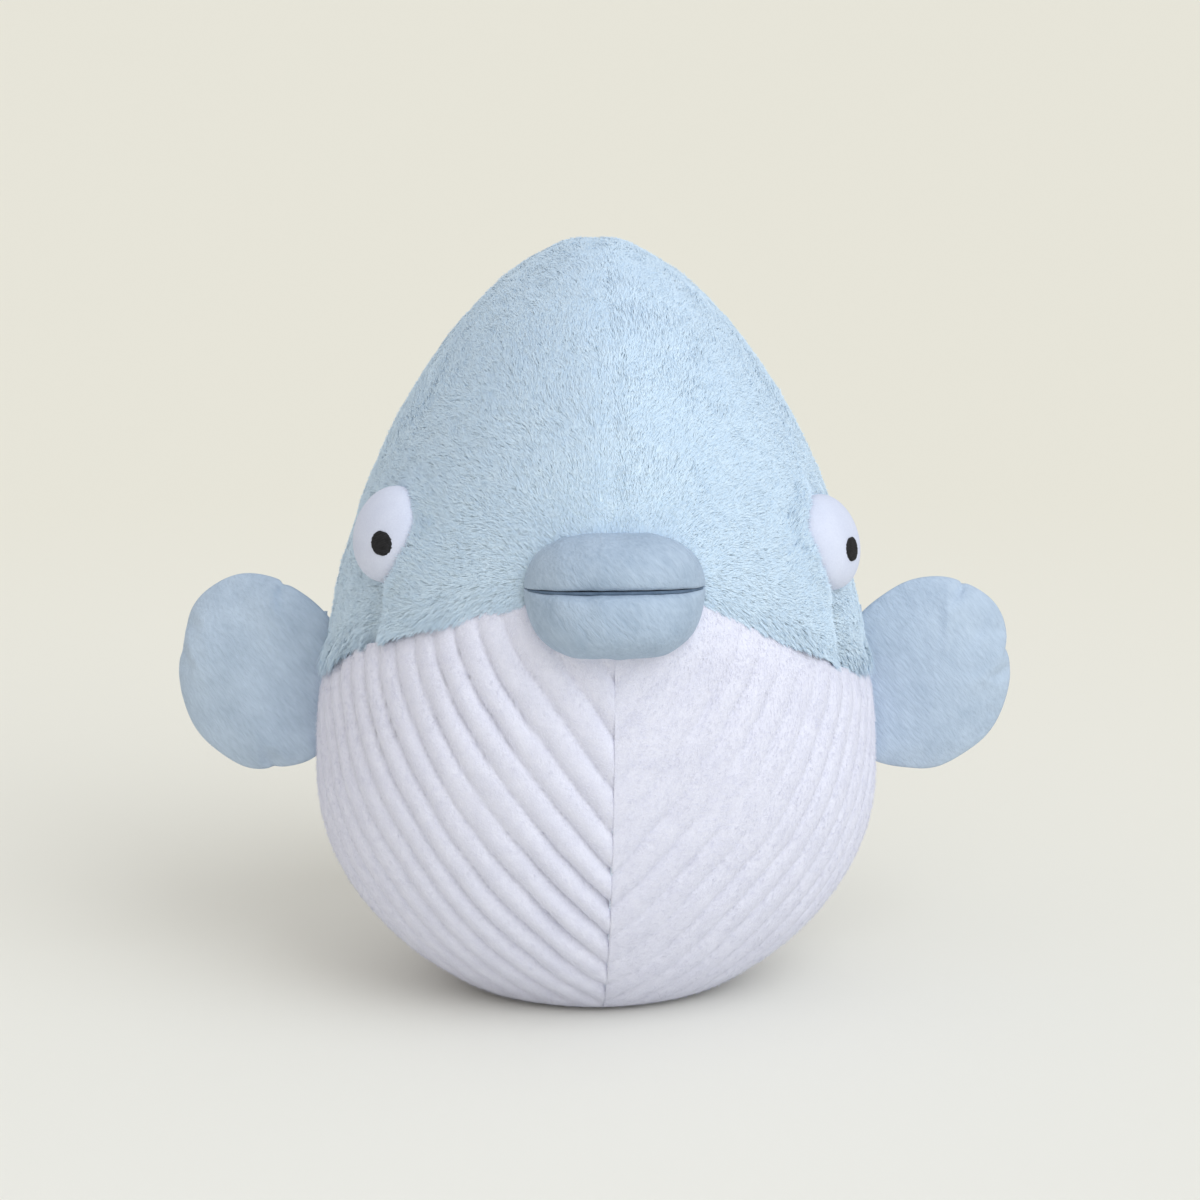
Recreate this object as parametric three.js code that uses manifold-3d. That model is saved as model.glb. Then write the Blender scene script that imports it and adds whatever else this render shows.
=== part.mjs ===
// A sitting plush pufferfish: a stuffed, sewn body with padded lips, padded eyes,
// two hinged side fins and a hinged tail fin. Millimetres, +Z up, the fish faces -Y.
// Left and right are the fish's own sides, so left is +X.
import * as THREE from 'three';
import { mergeVertices } from 'three/addons/utils/BufferGeometryUtils.js';
import Module from 'manifold-3d';

const wasm = await Module();
wasm.setup();

// Body size
const BODY_WIDTH = 203;
const BODY_HEIGHT = 274;
const BODY_LENGTH = 212;
const WIDEST_HEIGHT = 80;
const MOUTH_HEIGHT = 169;
const TAIL_HEIGHT = 138;
const TAIL_ROOT_SPAN = 36;

// How far behind the face the body is widest, highest and lowest
const WIDEST_SETBACK = 108;
const CREST_SETBACK = 112;
const BASE_SETBACK = 102;

// How full the body is: 1 is an ellipse, more is leaner, less is blunter
const SHOULDER_LEANNESS = 1.24;
const BELLY_LEANNESS = 1.12;
const FACE_WIDTH_LEANNESS = 0.92;
const FACE_CREST_LEANNESS = 0.95;
const FACE_BELLY_LEANNESS = 0.85;
const REAR_WIDTH_LEANNESS = 1.2;
const REAR_CREST_LEANNESS = 1.15;

// The weight presses the round belly this far flat, over a soft edge
const BASE_SINK = 10;
const BASE_SOFTNESS = 4;

// Fabric, seams and fits
const FABRIC_THICKNESS = 3;
const SEAM_GAP = 2;
const THREAD_RADIUS = 0.45;
const FIT_GAP = 0.3;
const STUFFING_FIT = 1.55;
const PAD_FIT = 0.8;
const MOUTH_STATION = 4;

// The seam between back and belly, as an angle above the widest line
const SIDE_SEAM_AT_POLES = 19;
const SIDE_SEAM_AT_FLANK = 13;

// Ribs of the belly cloth, the groove's share of the pitch, and the direction across the ribs
const RIB_PITCH = 11.7;
const RIB_DEPTH = 1.6;
const GROOVE_SHARE = 0.5;
const RIB_SLANT = new THREE.Vector3(-0.84, -0.6, 0.54);
const RIB_TAIL_PLACE = -150;

// Lips. Each profile runs from the face over the lip's front back to the face, from its top
// down, in shares of the lips' reach and height. The two powers say how blunt the corners of
// the mouth are.
const LIP_WIDTH = 61;
const LIP_HEIGHT = 20.5;
const LIP_REACH = 22;
const LIP_WRAP = 5;
const LIP_ARCH = 2;
const LIP_DEPTH_POWER = 2.4;
const LIP_HEIGHT_POWER = 3.4;
const LIP_CLOTH = 2;
const UPPER_LIP_PROFILE = [
  [-0.36, 0.72],
  [0.05, 0.81],
  [0.36, 0.82],
  [0.65, 0.71],
  [0.82, 0.49],
  [0.85, 0.25],
  [0.78, 0.07],
  [0.57, 0.005],
  [0.18, 0],
  [-0.36, 0],
];
const LOWER_LIP_PROFILE = [
  [-0.36, 0],
  [0.18, 0],
  [0.57, -0.01],
  [0.82, -0.05],
  [0.96, -0.2],
  [1, -0.48],
  [0.92, -0.79],
  [0.65, -1.03],
  [0.3, -1.17],
  [-0.36, -1.15],
];
const MOUTH_THREAD_RADIUS = 0.6;
const MOUTH_THREAD_REACH = 17.5;
const MOUTH_THREAD_SHARE = 0.88;

// Eyes. The toy is sewn by hand, so its two sides differ a little.
const EYE_STATION_LEFT = 62;
const EYE_STATION_RIGHT = 60;
const EYE_RING_LEFT = 28;
const EYE_RING_RIGHT = 30;
const EYE_WIDTH = 35;
const EYE_TALL = 34;
const EYE_REACH = 10;
const EYE_TURN = 8;
const EYE_CLOTH = 1.5;
const PUPIL_DIAMETER = 8.4;
const PUPIL_THICKNESS = 1;
const PUPIL_FORWARD_LEFT = 1.5;
const PUPIL_FORWARD_RIGHT = 8.5;
const PUPIL_DROP_LEFT = 4.5;
const PUPIL_DROP_RIGHT = 3.8;

// Side fins and tail fin
const FIN_STATION = 96;
const FIN_RING = 10;
const FIN_SWEEP_LEFT = -2;
const FIN_SWEEP_RIGHT = 12;
const FIN_LENGTH = 55;
const FIN_DROOP_LEFT = 16;
const FIN_DROOP_RIGHT = 10;
const FIN_SPAN = 74;
const TAIL_LENGTH = 50;
const TAIL_SPAN = 78;
const TAIL_FLARE = 0.45;
const FIN_PUFF = 6;
const FIN_HEM = 0.9;
const FIN_CLOTH = 1.4;
const FIN_PINCH = 20;
const FIN_ROUND_CENTRE = 0.44;
const ROOT_THREAD_RADIUS = 0.6;

// Weight bag in the base
const POUCH_WIDTH = 104;
const POUCH_LENGTH = 96;
const POUCH_TOP = 34;

// Sizes that follow from those above
const FACE_Y = -BODY_LENGTH / 2;
const REAR_Y = FACE_Y + BODY_LENGTH;
const WIDEST_Y = FACE_Y + WIDEST_SETBACK;
const CREST_Y = FACE_Y + CREST_SETBACK;
const BASE_Y = FACE_Y + BASE_SETBACK;
const INNER_SKIN = -FABRIC_THICKNESS;
const STUFFING_SKIN = -FABRIC_THICKNESS - STUFFING_FIT;
const HINGE_OFFSET = ROOT_THREAD_RADIUS + FIT_GAP;
const FRONT_END = FACE_Y - LIP_REACH;
const BACK_END = REAR_Y + HINGE_OFFSET + TAIL_LENGTH;

const FUR_BLUE = { color: 0xbcd0e4, roughness: 0.95 };
const RIB_WHITE = { color: 0xe4e4ee, roughness: 0.95 };
const VELOUR_BLUE = { color: 0xaebfd6, roughness: 0.9 };
const EYE_WHITE = { color: 0xe2e6f2, roughness: 0.9 };
const PUPIL_BLACK = { color: 0x1a1b1d, roughness: 0.6 };
const FILL_WHITE = { color: 0xf2f0ea, roughness: 1 };
const POUCH_CLOTH = { color: 0xd9d4c8, roughness: 0.9 };
const THREAD_PALE = { color: 0xc9d4e2, roughness: 0.7 };
const MOUTH_SLATE = { color: 0x6d8098, roughness: 0.8 };

const sine = (degrees) => Math.sin(THREE.MathUtils.degToRad(degrees));
const cosine = (degrees) => Math.cos(THREE.MathUtils.degToRad(degrees));

// Softened floor: nothing of the body goes below the ground it sits on.
function settle(z) {
  if (z < -BASE_SOFTNESS) return 0;
  if (z > BASE_SOFTNESS) return z;
  return (z + BASE_SOFTNESS) ** 2 / (4 * BASE_SOFTNESS);
}

// One point of the body's left side. The station runs from the mouth at 0 to the tail
// root at 180. The ring angle runs from the belly seam at -90 over the widest line at 0
// to the back seam at 90.
function bodyPoint(station, ring) {
  const girth = Math.max(sine(station), 0);
  const front = station < 90;
  const reach = Math.abs(cosine(station));
  const end = front ? FACE_Y : REAR_Y;
  const halfRoot = front ? 0 : TAIL_ROOT_SPAN / 2;
  const pole = front ? MOUTH_HEIGHT : TAIL_HEIGHT;
  const crestFall = girth ** (front ? FACE_CREST_LEANNESS : REAR_CREST_LEANNESS);
  const bellyFall = girth ** (front ? FACE_BELLY_LEANNESS : 1);
  const widthFall = girth ** (front ? FACE_WIDTH_LEANNESS : REAR_WIDTH_LEANNESS);
  const rise = Math.abs(sine(ring));
  const lean = ring > 0 ? SHOULDER_LEANNESS : BELLY_LEANNESS;
  const seamY = ring > 0 ? CREST_Y : BASE_Y;
  const crest = THREE.MathUtils.lerp(pole + halfRoot, BODY_HEIGHT, crestFall);
  const keel = THREE.MathUtils.lerp(pole - halfRoot, -BASE_SINK, bellyFall);
  const flank = THREE.MathUtils.lerp(pole, WIDEST_HEIGHT, girth);
  const middleY = THREE.MathUtils.lerp(WIDEST_Y, seamY, rise);
  const x = (BODY_WIDTH / 2) * widthFall * Math.max(cosine(ring), 0) ** lean;
  const y = THREE.MathUtils.lerp(middleY, end, reach);
  const z = THREE.MathUtils.lerp(flank, ring > 0 ? crest : keel, rise);
  return new THREE.Vector3(x, y, settle(z));
}

// Outward direction of the body's surface on its left side.
function bodyNormal(station, ring) {
  const step = 0.4;
  if (station < step) return new THREE.Vector3(0, -1, 0);
  if (station > 180 - step) return new THREE.Vector3(0, 1, 0);
  const along = bodyPoint(station + step, ring).sub(bodyPoint(station - step, ring));
  const upper = bodyPoint(station, Math.min(ring + step, 90));
  const around = upper.sub(bodyPoint(station, Math.max(ring - step, -90)));
  return around.cross(along).negate().normalize();
}

// The same surface moved out by an offset, kept clear of the centre plane by half a seam.
function skinPoint(station, ring, offset, clear) {
  const point = bodyPoint(station, ring);
  point.addScaledVector(bodyNormal(station, ring), offset);
  point.x = Math.max(point.x, clear);
  return point;
}

// Ring angle of the seam between back and belly.
function sideSeam(station) {
  return THREE.MathUtils.lerp(SIDE_SEAM_AT_POLES, SIDE_SEAM_AT_FLANK, sine(station));
}

// Ring angle that spans a distance across the surface beside the side seam.
function seamAngle(station, distance) {
  const ring = sideSeam(station);
  const span = bodyPoint(station, ring + 1).distanceTo(bodyPoint(station, ring - 1)) / 2;
  return distance / Math.max(span, 0.1);
}

// A closed geometry from corner points and triangles, without collapsed triangles.
function closedGeometry(points, triangles) {
  const raw = new THREE.BufferGeometry();
  raw.setAttribute('position', new THREE.Float32BufferAttribute(points.flatMap((p) => [p.x, p.y, p.z]), 3));
  raw.setIndex(triangles);
  const merged = mergeVertices(raw, 1e-3);
  const corners = merged.index.array;
  const kept = [];
  for (let i = 0; i < corners.length; i += 3) {
    const [a, b, c] = [corners[i], corners[i + 1], corners[i + 2]];
    if (a !== b && b !== c && c !== a) kept.push(a, b, c);
  }
  merged.setIndex(kept);
  return merged;
}

// A sheet of cloth: outer and inner grids of points joined round all four edges.
function sheet(columns, rows, outer, inner) {
  const points = [];
  for (const side of [outer, inner]) {
    for (let i = 0; i <= columns; i++) {
      for (let j = 0; j <= rows; j++) points.push(side(i, j));
    }
  }
  const layer = (columns + 1) * (rows + 1);
  const at = (i, j, k) => k * layer + i * (rows + 1) + j;
  const triangles = [];
  const quad = (a, b, c, d) => triangles.push(a, c, b, a, d, c);
  for (let i = 0; i < columns; i++) {
    for (let j = 0; j < rows; j++) {
      quad(at(i, j, 0), at(i, j + 1, 0), at(i + 1, j + 1, 0), at(i + 1, j, 0));
      quad(at(i, j, 1), at(i + 1, j, 1), at(i + 1, j + 1, 1), at(i, j + 1, 1));
    }
    quad(at(i, 0, 0), at(i + 1, 0, 0), at(i + 1, 0, 1), at(i, 0, 1));
    quad(at(i, rows, 0), at(i, rows, 1), at(i + 1, rows, 1), at(i + 1, rows, 0));
  }
  for (let j = 0; j < rows; j++) {
    quad(at(0, j, 0), at(0, j, 1), at(0, j + 1, 1), at(0, j + 1, 0));
    quad(at(columns, j, 0), at(columns, j + 1, 0), at(columns, j + 1, 1), at(columns, j, 1));
  }
  return closedGeometry(points, triangles);
}

// A pad: an outline filled by rings round its centre, with a front and a back height.
function pad(outline, rings, segments, frontHeight, backHeight) {
  const points = [];
  const heights = [frontHeight, backHeight];
  for (const height of heights) {
    for (let r = 0; r <= rings; r++) {
      for (let s = 0; s < segments; s++) {
        const flat = outline((2 * Math.PI * s) / segments, r / rings);
        points.push(new THREE.Vector3(flat.x, height(flat.x, flat.y), flat.y));
      }
    }
  }
  const layer = (rings + 1) * segments;
  const at = (r, s, k) => k * layer + r * segments + (s % segments);
  const triangles = [];
  const quad = (a, b, c, d) => triangles.push(a, b, c, a, c, d);
  for (let s = 0; s < segments; s++) {
    for (let r = 0; r < rings; r++) {
      quad(at(r, s, 0), at(r, s + 1, 0), at(r + 1, s + 1, 0), at(r + 1, s, 0));
      quad(at(r, s, 1), at(r + 1, s, 1), at(r + 1, s + 1, 1), at(r, s + 1, 1));
    }
    quad(at(rings, s, 0), at(rings, s + 1, 0), at(rings, s + 1, 1), at(rings, s, 1));
  }
  return closedGeometry(points, triangles);
}

// The whole body's surface as one closed skin, moved out by an offset.
function bodySkin(offset, first, last, stations, rings) {
  const points = [];
  const around = 2 * rings;
  for (let i = 0; i <= stations; i++) {
    const station = THREE.MathUtils.lerp(first, last, i / stations);
    for (let k = 0; k < around; k++) {
      const left = k <= rings;
      const ring = -90 + (180 * (left ? k : around - k)) / rings;
      const point = skinPoint(station, ring, offset, 0);
      if (!left) point.x = -point.x;
      points.push(point);
    }
  }
  const ends = [0, stations].map((i) => {
    const ring = points.slice(i * around, (i + 1) * around);
    const middle = ring.reduce((sum, p) => sum.add(p), new THREE.Vector3());
    return points.push(middle.divideScalar(around)) - 1;
  });
  const at = (i, k) => i * around + (k % around);
  const triangles = [];
  for (let k = 0; k < around; k++) {
    triangles.push(ends[0], at(0, k), at(0, k + 1));
    triangles.push(ends[1], at(stations, k + 1), at(stations, k));
    for (let i = 0; i < stations; i++) {
      triangles.push(at(i, k), at(i + 1, k), at(i + 1, k + 1));
      triangles.push(at(i, k), at(i + 1, k + 1), at(i, k + 1));
    }
  }
  return closedGeometry(points, triangles);
}

// Solid for joining and cutting, from a closed geometry.
function toSolid(geometry) {
  const bare = geometry.clone();
  bare.deleteAttribute('normal');
  bare.deleteAttribute('uv');
  const welded = mergeVertices(bare, 1e-4);
  const triVerts = new Uint32Array(welded.index.array);
  const vertProperties = new Float32Array(welded.attributes.position.array);
  return new wasm.Manifold(new wasm.Mesh({ numProp: 3, vertProperties, triVerts }));
}

// Geometry to show, from a cut solid.
function toGeometry(solid) {
  const mesh = solid.getMesh();
  const geometry = new THREE.BufferGeometry();
  geometry.setAttribute('position', new THREE.BufferAttribute(mesh.vertProperties, 3));
  geometry.setIndex(new THREE.BufferAttribute(mesh.triVerts, 1));
  return geometry;
}

function piece(name, geometry, finish) {
  const shown = geometry.index ? geometry.toNonIndexed() : geometry;
  shown.computeVertexNormals();
  const mesh = new THREE.Mesh(shown, new THREE.MeshStandardMaterial({ ...finish, metalness: 0 }));
  mesh.name = name;
  return mesh;
}

// A round thread along a curve.
function thread(curve, radius, steps) {
  const section = new THREE.Shape();
  section.absarc(0, 0, radius, 0, 2 * Math.PI);
  return new THREE.ExtrudeGeometry(section, { steps, extrudePath: curve, curveSegments: 2 });
}

// Blue back panel of the left side, from the side seam up to the back seam.
function backPanel() {
  const columns = 20;
  const rows = 8;
  const skin = (offset) => (i, j) => {
    const station = THREE.MathUtils.lerp(MOUTH_STATION, 180, i / columns);
    const low = sideSeam(station) + seamAngle(station, SEAM_GAP / 2);
    const ring = THREE.MathUtils.lerp(low, 90, j / rows);
    return skinPoint(station, ring, offset, SEAM_GAP / 2);
  };
  return sheet(columns, rows, skin(0), skin(INNER_SKIN));
}

// Ring angle at a share of the way up from the belly seam to the side seam.
function bellyRing(station, share) {
  const high = sideSeam(station) - seamAngle(station, SEAM_GAP / 2);
  return THREE.MathUtils.lerp(-90, high, share);
}

// Place across the ribs. The ribs lie in slanted planes on the front half of the belly.
// On the rear half they draw together evenly toward the tail root.
function ribPlace(station, share) {
  const flank = Math.min(station, 90);
  const slanted = bodyPoint(flank, bellyRing(flank, share)).dot(RIB_SLANT);
  return THREE.MathUtils.lerp(slanted, RIB_TAIL_PLACE, Math.max(station - 90, 0) / 90);
}

// Station at which a rib line crosses a row of the belly.
function ribStation(place, share) {
  let low = MOUTH_STATION;
  let high = 180;
  if (ribPlace(low, share) <= place) return low;
  if (ribPlace(high, share) >= place) return high;
  while (high - low > 0.01) {
    const middle = (low + high) / 2;
    if (ribPlace(middle, share) > place) low = middle;
    else high = middle;
  }
  return (low + high) / 2;
}

// White belly panel of the left side. Its columns follow the ribs: one in each groove and
// one on each shoulder beside it. The smooth inner face has one column for each rib. Grooves
// fade where the cloth is pressed flat on the ground and at the two ends.
function bellyPanel() {
  const rows = 9;
  const shares = Array.from({ length: rows + 1 }, (_, j) => j / rows);
  const first = Math.max(...shares.map((share) => ribPlace(MOUTH_STATION, share)));
  const last = Math.min(...shares.map((share) => ribPlace(180, share)));
  const marks = [0, GROOVE_SHARE / 2, 1 - GROOVE_SHARE / 2];
  const columns = marks.length * Math.ceil((first - last) / RIB_PITCH);
  const stations = [];
  for (let i = 0; i <= columns; i++) {
    const mark = Math.floor(i / marks.length) + marks[i % marks.length];
    stations.push(shares.map((share) => ribStation(first - mark * RIB_PITCH, share)));
  }
  const outer = (i, j) => {
    const station = stations[i][j];
    const ring = bellyRing(station, shares[j]);
    const high = THREE.MathUtils.smoothstep(bodyPoint(station, ring).z, 1, 9);
    const behind = THREE.MathUtils.smoothstep(station, MOUTH_STATION, MOUTH_STATION + 5);
    const ahead = THREE.MathUtils.smoothstep(180 - station, 8, 30);
    const groove = i % marks.length === 0 ? RIB_DEPTH * high * behind * ahead : 0;
    return skinPoint(station, ring, -groove, SEAM_GAP / 2);
  };
  const inner = (i, j) => {
    const station = stations[i - (i % marks.length)][j];
    return skinPoint(station, bellyRing(station, shares[j]), INNER_SKIN, SEAM_GAP / 2);
  };
  return sheet(columns, rows, outer, inner);
}

// Thread of a seam on the centre plane, at the middle of the cloth.
function centreSeam(ring, first, last) {
  const places = [];
  for (let station = first; station <= last; station += 6) {
    const point = skinPoint(station, ring, INNER_SKIN / 2, 0);
    places.push(point.setX(0));
  }
  return thread(new THREE.CatmullRomCurve3(places), THREAD_RADIUS, 21);
}

// Thread of the left seam between back and belly.
function sideSeamThread() {
  const places = [];
  for (let station = 8; station <= 172; station += 4) {
    places.push(skinPoint(station, sideSeam(station), INNER_SKIN / 2, 0));
  }
  return thread(new THREE.CatmullRomCurve3(places), THREAD_RADIUS, 30);
}

// The stuffing with a hollow in its base, and the weight bag that fills the hollow.
function fillings() {
  const within = (offset) => toSolid(bodySkin(offset, 7, 174, 18, 10));
  const fill = within(STUFFING_SKIN);
  const bag = (grow) => {
    const ball = new THREE.SphereGeometry(1, 20, 12);
    const tall = POUCH_TOP + grow;
    ball.rotateX(Math.PI / 2);
    ball.scale(POUCH_WIDTH / 2 + grow, POUCH_LENGTH / 2 + grow, tall);
    return toSolid(ball.translate(0, BASE_Y, 0));
  };
  return {
    stuffing: fill.subtract(bag(STUFFING_FIT)),
    pouch: within(STUFFING_SKIN - PAD_FIT).intersect(bag(0)),
  };
}

// How far the mouth line has dropped at a distance from its middle.
function mouthDrop(x) {
  return LIP_ARCH * (x / (LIP_WIDTH / 2)) ** 2;
}

// How much of a size is left at a share of the way from the middle to a corner of the mouth.
function cornerFall(across, power) {
  return Math.sqrt(Math.max(1 - Math.abs(across) ** power, 0));
}

// One lip: its profile, drawn in toward the corners of the mouth and shrunk all round. The
// ends are single points.
function lipForm(profile, upward, shrink, rows, columns) {
  const corners = profile.map(([deep, tall]) => new THREE.Vector2(deep * LIP_REACH, tall * LIP_HEIGHT));
  const box = new THREE.Box2().setFromPoints(corners);
  const size = box.getSize(new THREE.Vector2());
  const middle = box.getCenter(new THREE.Vector2());
  const smaller = size.clone().subScalar(2 * shrink).divide(size);
  const line = new THREE.SplineCurve(corners).getSpacedPoints(columns - 1);
  const base = MOUTH_HEIGHT + upward * (FIT_GAP + shrink);
  const points = [];
  const triangles = [];
  const at = (i, k) => i * columns + (k % columns);
  for (let i = 0; i <= rows; i++) {
    const across = sine(THREE.MathUtils.lerp(-90, 90, i / rows));
    const x = (LIP_WIDTH / 2 - shrink) * across;
    const deep = cornerFall(across, LIP_DEPTH_POWER);
    const tall = cornerFall(across, LIP_HEIGHT_POWER);
    for (const place of line) {
      const own = place.clone().sub(middle).multiply(smaller).add(middle);
      const y = FACE_Y - own.x * deep + LIP_WRAP * across ** 2;
      const z = base + (own.y - upward * shrink) * tall - mouthDrop(x);
      points.push(new THREE.Vector3(x, y, z));
    }
  }
  for (let i = 0; i < rows; i++) {
    for (let k = 0; k < columns; k++) {
      triangles.push(at(i, k), at(i + 1, k + 1), at(i + 1, k));
      triangles.push(at(i, k), at(i, k + 1), at(i + 1, k + 1));
    }
  }
  return toSolid(closedGeometry(points, triangles));
}

// Cloth cover and stuffing of one lip.
function lip(profile, upward, faceCut) {
  const form = (shrink, rows, columns) => lipForm(profile, upward, shrink, rows, columns);
  return {
    cover: form(0, 10, 12).subtract(form(LIP_CLOTH, 10, 12)).subtract(faceCut),
    stuffing: form(LIP_CLOTH + PAD_FIT, 10, 12).subtract(faceCut),
  };
}

// Dark thread that lies in the crease between the lips.
function mouthThread() {
  const places = [];
  const steps = 12;
  for (let i = 0; i <= steps; i++) {
    const across = MOUTH_THREAD_SHARE * sine(THREE.MathUtils.lerp(-90, 90, i / steps));
    const x = (LIP_WIDTH / 2) * across;
    const deep = MOUTH_THREAD_REACH * cornerFall(across, LIP_DEPTH_POWER);
    const y = FACE_Y - deep + LIP_WRAP * across ** 2;
    places.push(new THREE.Vector3(x, y, MOUTH_HEIGHT - mouthDrop(x)));
  }
  return thread(new THREE.CatmullRomCurve3(places), MOUTH_THREAD_RADIUS, 14);
}

// An eye, as for the left side: a padded white dome with a stitched pupil that looks forward.
function eye(station, ring, forward, drop, bodyCut) {
  const centre = bodyPoint(station, ring);
  const outward = bodyNormal(station, ring);
  outward.applyAxisAngle(new THREE.Vector3(0, 0, 1), THREE.MathUtils.degToRad(-EYE_TURN));
  const rearward = new THREE.Vector3(0, 0, 1).cross(outward).normalize();
  const inward = outward.clone().negate();
  const upward = rearward.clone().cross(inward);
  const toBody = new THREE.Matrix4().makeBasis(rearward, inward, upward).setPosition(centre);
  const dome = (grow) => {
    const wide = EYE_WIDTH / 2 + grow;
    const tall = EYE_TALL / 2 + grow;
    const ball = new THREE.SphereGeometry(1, 16, 8).rotateX(Math.PI / 2);
    return toSolid(ball.scale(wide, EYE_REACH + grow, tall).applyMatrix4(toBody));
  };
  const spot = new THREE.CylinderGeometry(PUPIL_DIAMETER / 2, PUPIL_DIAMETER / 2, 3 * EYE_REACH, 16);
  spot.translate(0, -1.5 * EYE_REACH, 0);
  spot.translate(-forward, 0, -drop).applyMatrix4(toBody);
  const skin = dome(PUPIL_THICKNESS + FIT_GAP).subtract(dome(FIT_GAP));
  return {
    cover: dome(0).subtract(dome(-EYE_CLOTH)).subtract(bodyCut),
    stuffing: dome(-EYE_CLOTH - PAD_FIT).subtract(bodyCut),
    pupil: skin.intersect(toSolid(spot)),
  };
}

// A fin lies in the plane of its own X and Z with its root along the Z axis: two cloth
// panels round a flat pad of stuffing, pinched thin where it is sewn on.
function finPieces(length, span, droop, flare) {
  const tilt = THREE.MathUtils.degToRad(droop);
  const axes = new THREE.Vector2(length * (1 - FIN_ROUND_CENTRE), span / 2);
  const centre = new THREE.Vector2(length * FIN_ROUND_CENTRE, 0).rotateAround(new THREE.Vector2(), -tilt);
  const widen = (x) => THREE.MathUtils.lerp(1 - flare, 1, THREE.MathUtils.clamp(x / length, 0, 1));
  const outline = (scale) => (turn, share) => {
    const round = new THREE.Vector2(Math.cos(turn), Math.sin(turn)).multiply(axes);
    const flat = round.multiplyScalar(scale * share).rotateAround(new THREE.Vector2(), -tilt).add(centre);
    const root = HINGE_OFFSET + (1 - scale) * centre.x;
    const x = Math.max(flat.x, root);
    return flat.set(x, flat.y * widen(x));
  };
  const puff = (x, z) => {
    const level = new THREE.Vector2(x, z / widen(x)).sub(centre).rotateAround(new THREE.Vector2(), tilt);
    const radius = Math.min(level.divide(axes).lengthSq(), 1);
    return FIN_PUFF * (1 - radius) ** 0.65 * THREE.MathUtils.smoothstep(x, 0, FIN_PINCH);
  };
  const outside = (x, z) => FIN_HEM + puff(x, z);
  const inside = (x, z) => Math.max(outside(x, z) - FIN_CLOTH, FIT_GAP / 2);
  const filled = (x, z) => Math.max(inside(x, z) - PAD_FIT, FIT_GAP);
  const mirrored = (height) => (x, z) => -height(x, z);
  return {
    near: pad(outline(1), 4, 24, mirrored(inside), mirrored(outside)),
    far: pad(outline(1), 4, 24, outside, inside),
    stuffing: pad(outline(0.74), 3, 20, filled, mirrored(filled)),
  };
}

// Straight thread that sews a fin on and serves as its hinge line.
function rootThread(span) {
  const half = new THREE.Vector3(0, 0, span / 2);
  return thread(new THREE.LineCurve3(half.clone().negate(), half), ROOT_THREAD_RADIUS, 1);
}

// Place of a side fin, as for the left side, turned from the flank's outward direction back
// by its sweep.
function sideFin(sweep) {
  const root = skinPoint(FIN_STATION, FIN_RING, HINGE_OFFSET, 0);
  const outward = bodyNormal(FIN_STATION, FIN_RING);
  const above = bodyPoint(FIN_STATION, FIN_RING + 1);
  const hinge = above.sub(bodyPoint(FIN_STATION, FIN_RING - 1)).setY(0).normalize();
  const reach = outward.addScaledVector(hinge, -outward.dot(hinge)).normalize();
  reach.applyAxisAngle(hinge, THREE.MathUtils.degToRad(sweep));
  const fin = new THREE.Group();
  fin.matrix.makeBasis(reach, hinge.clone().cross(reach), hinge).setPosition(root);
  fin.matrix.decompose(fin.position, fin.quaternion, fin.scale);
  return fin;
}

const faceCut = toSolid(bodySkin(2 * FIT_GAP, 1, 179, 28, 16));
const filling = fillings();
const upperLip = lip(UPPER_LIP_PROFILE, 1, faceCut);
const lowerLip = lip(LOWER_LIP_PROFILE, -1, faceCut);
const eyes = {
  left: eye(EYE_STATION_LEFT, EYE_RING_LEFT, PUPIL_FORWARD_LEFT, PUPIL_DROP_LEFT, faceCut),
  right: eye(EYE_STATION_RIGHT, EYE_RING_RIGHT, PUPIL_FORWARD_RIGHT, PUPIL_DROP_RIGHT, faceCut),
};
const fins = {
  left: finPieces(FIN_LENGTH, FIN_SPAN, FIN_DROOP_LEFT, 0),
  right: finPieces(FIN_LENGTH, FIN_SPAN, FIN_DROOP_RIGHT, 0),
};
const tailParts = finPieces(TAIL_LENGTH, TAIL_SPAN, 0, TAIL_FLARE);
const panelOfBack = backPanel();
const panelOfBelly = bellyPanel();
const threadOfSide = sideSeamThread();

const fish = new THREE.Group();
fish.name = 'plush_pufferfish';
fish.position.y = -(FRONT_END + BACK_END) / 2;

for (const [side, turn] of [['left', 1], ['right', -1]]) {
  const half = new THREE.Group();
  half.name = `${side}_half`;
  half.scale.x = turn;
  half.add(piece(`back_panel_${side}`, panelOfBack, FUR_BLUE));
  half.add(piece(`belly_panel_${side}`, panelOfBelly, RIB_WHITE));
  half.add(piece(`side_seam_thread_${side}`, threadOfSide, THREAD_PALE));
  half.add(piece(`eye_cover_${side}`, toGeometry(eyes[side].cover), EYE_WHITE));
  half.add(piece(`eye_stuffing_${side}`, toGeometry(eyes[side].stuffing), FILL_WHITE));
  half.add(piece(`pupil_${side}`, toGeometry(eyes[side].pupil), PUPIL_BLACK));
  const fin = sideFin(side === 'left' ? FIN_SWEEP_LEFT : FIN_SWEEP_RIGHT);
  fin.name = `fin_${side}`;
  fin.add(piece(`fin_front_panel_${side}`, fins[side].near, VELOUR_BLUE));
  fin.add(piece(`fin_rear_panel_${side}`, fins[side].far, VELOUR_BLUE));
  fin.add(piece(`fin_stuffing_${side}`, fins[side].stuffing, FILL_WHITE));
  fin.add(piece(`fin_root_thread_${side}`, rootThread(0.6 * FIN_SPAN), THREAD_PALE));
  half.add(fin);
  fish.add(half);
}

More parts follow.
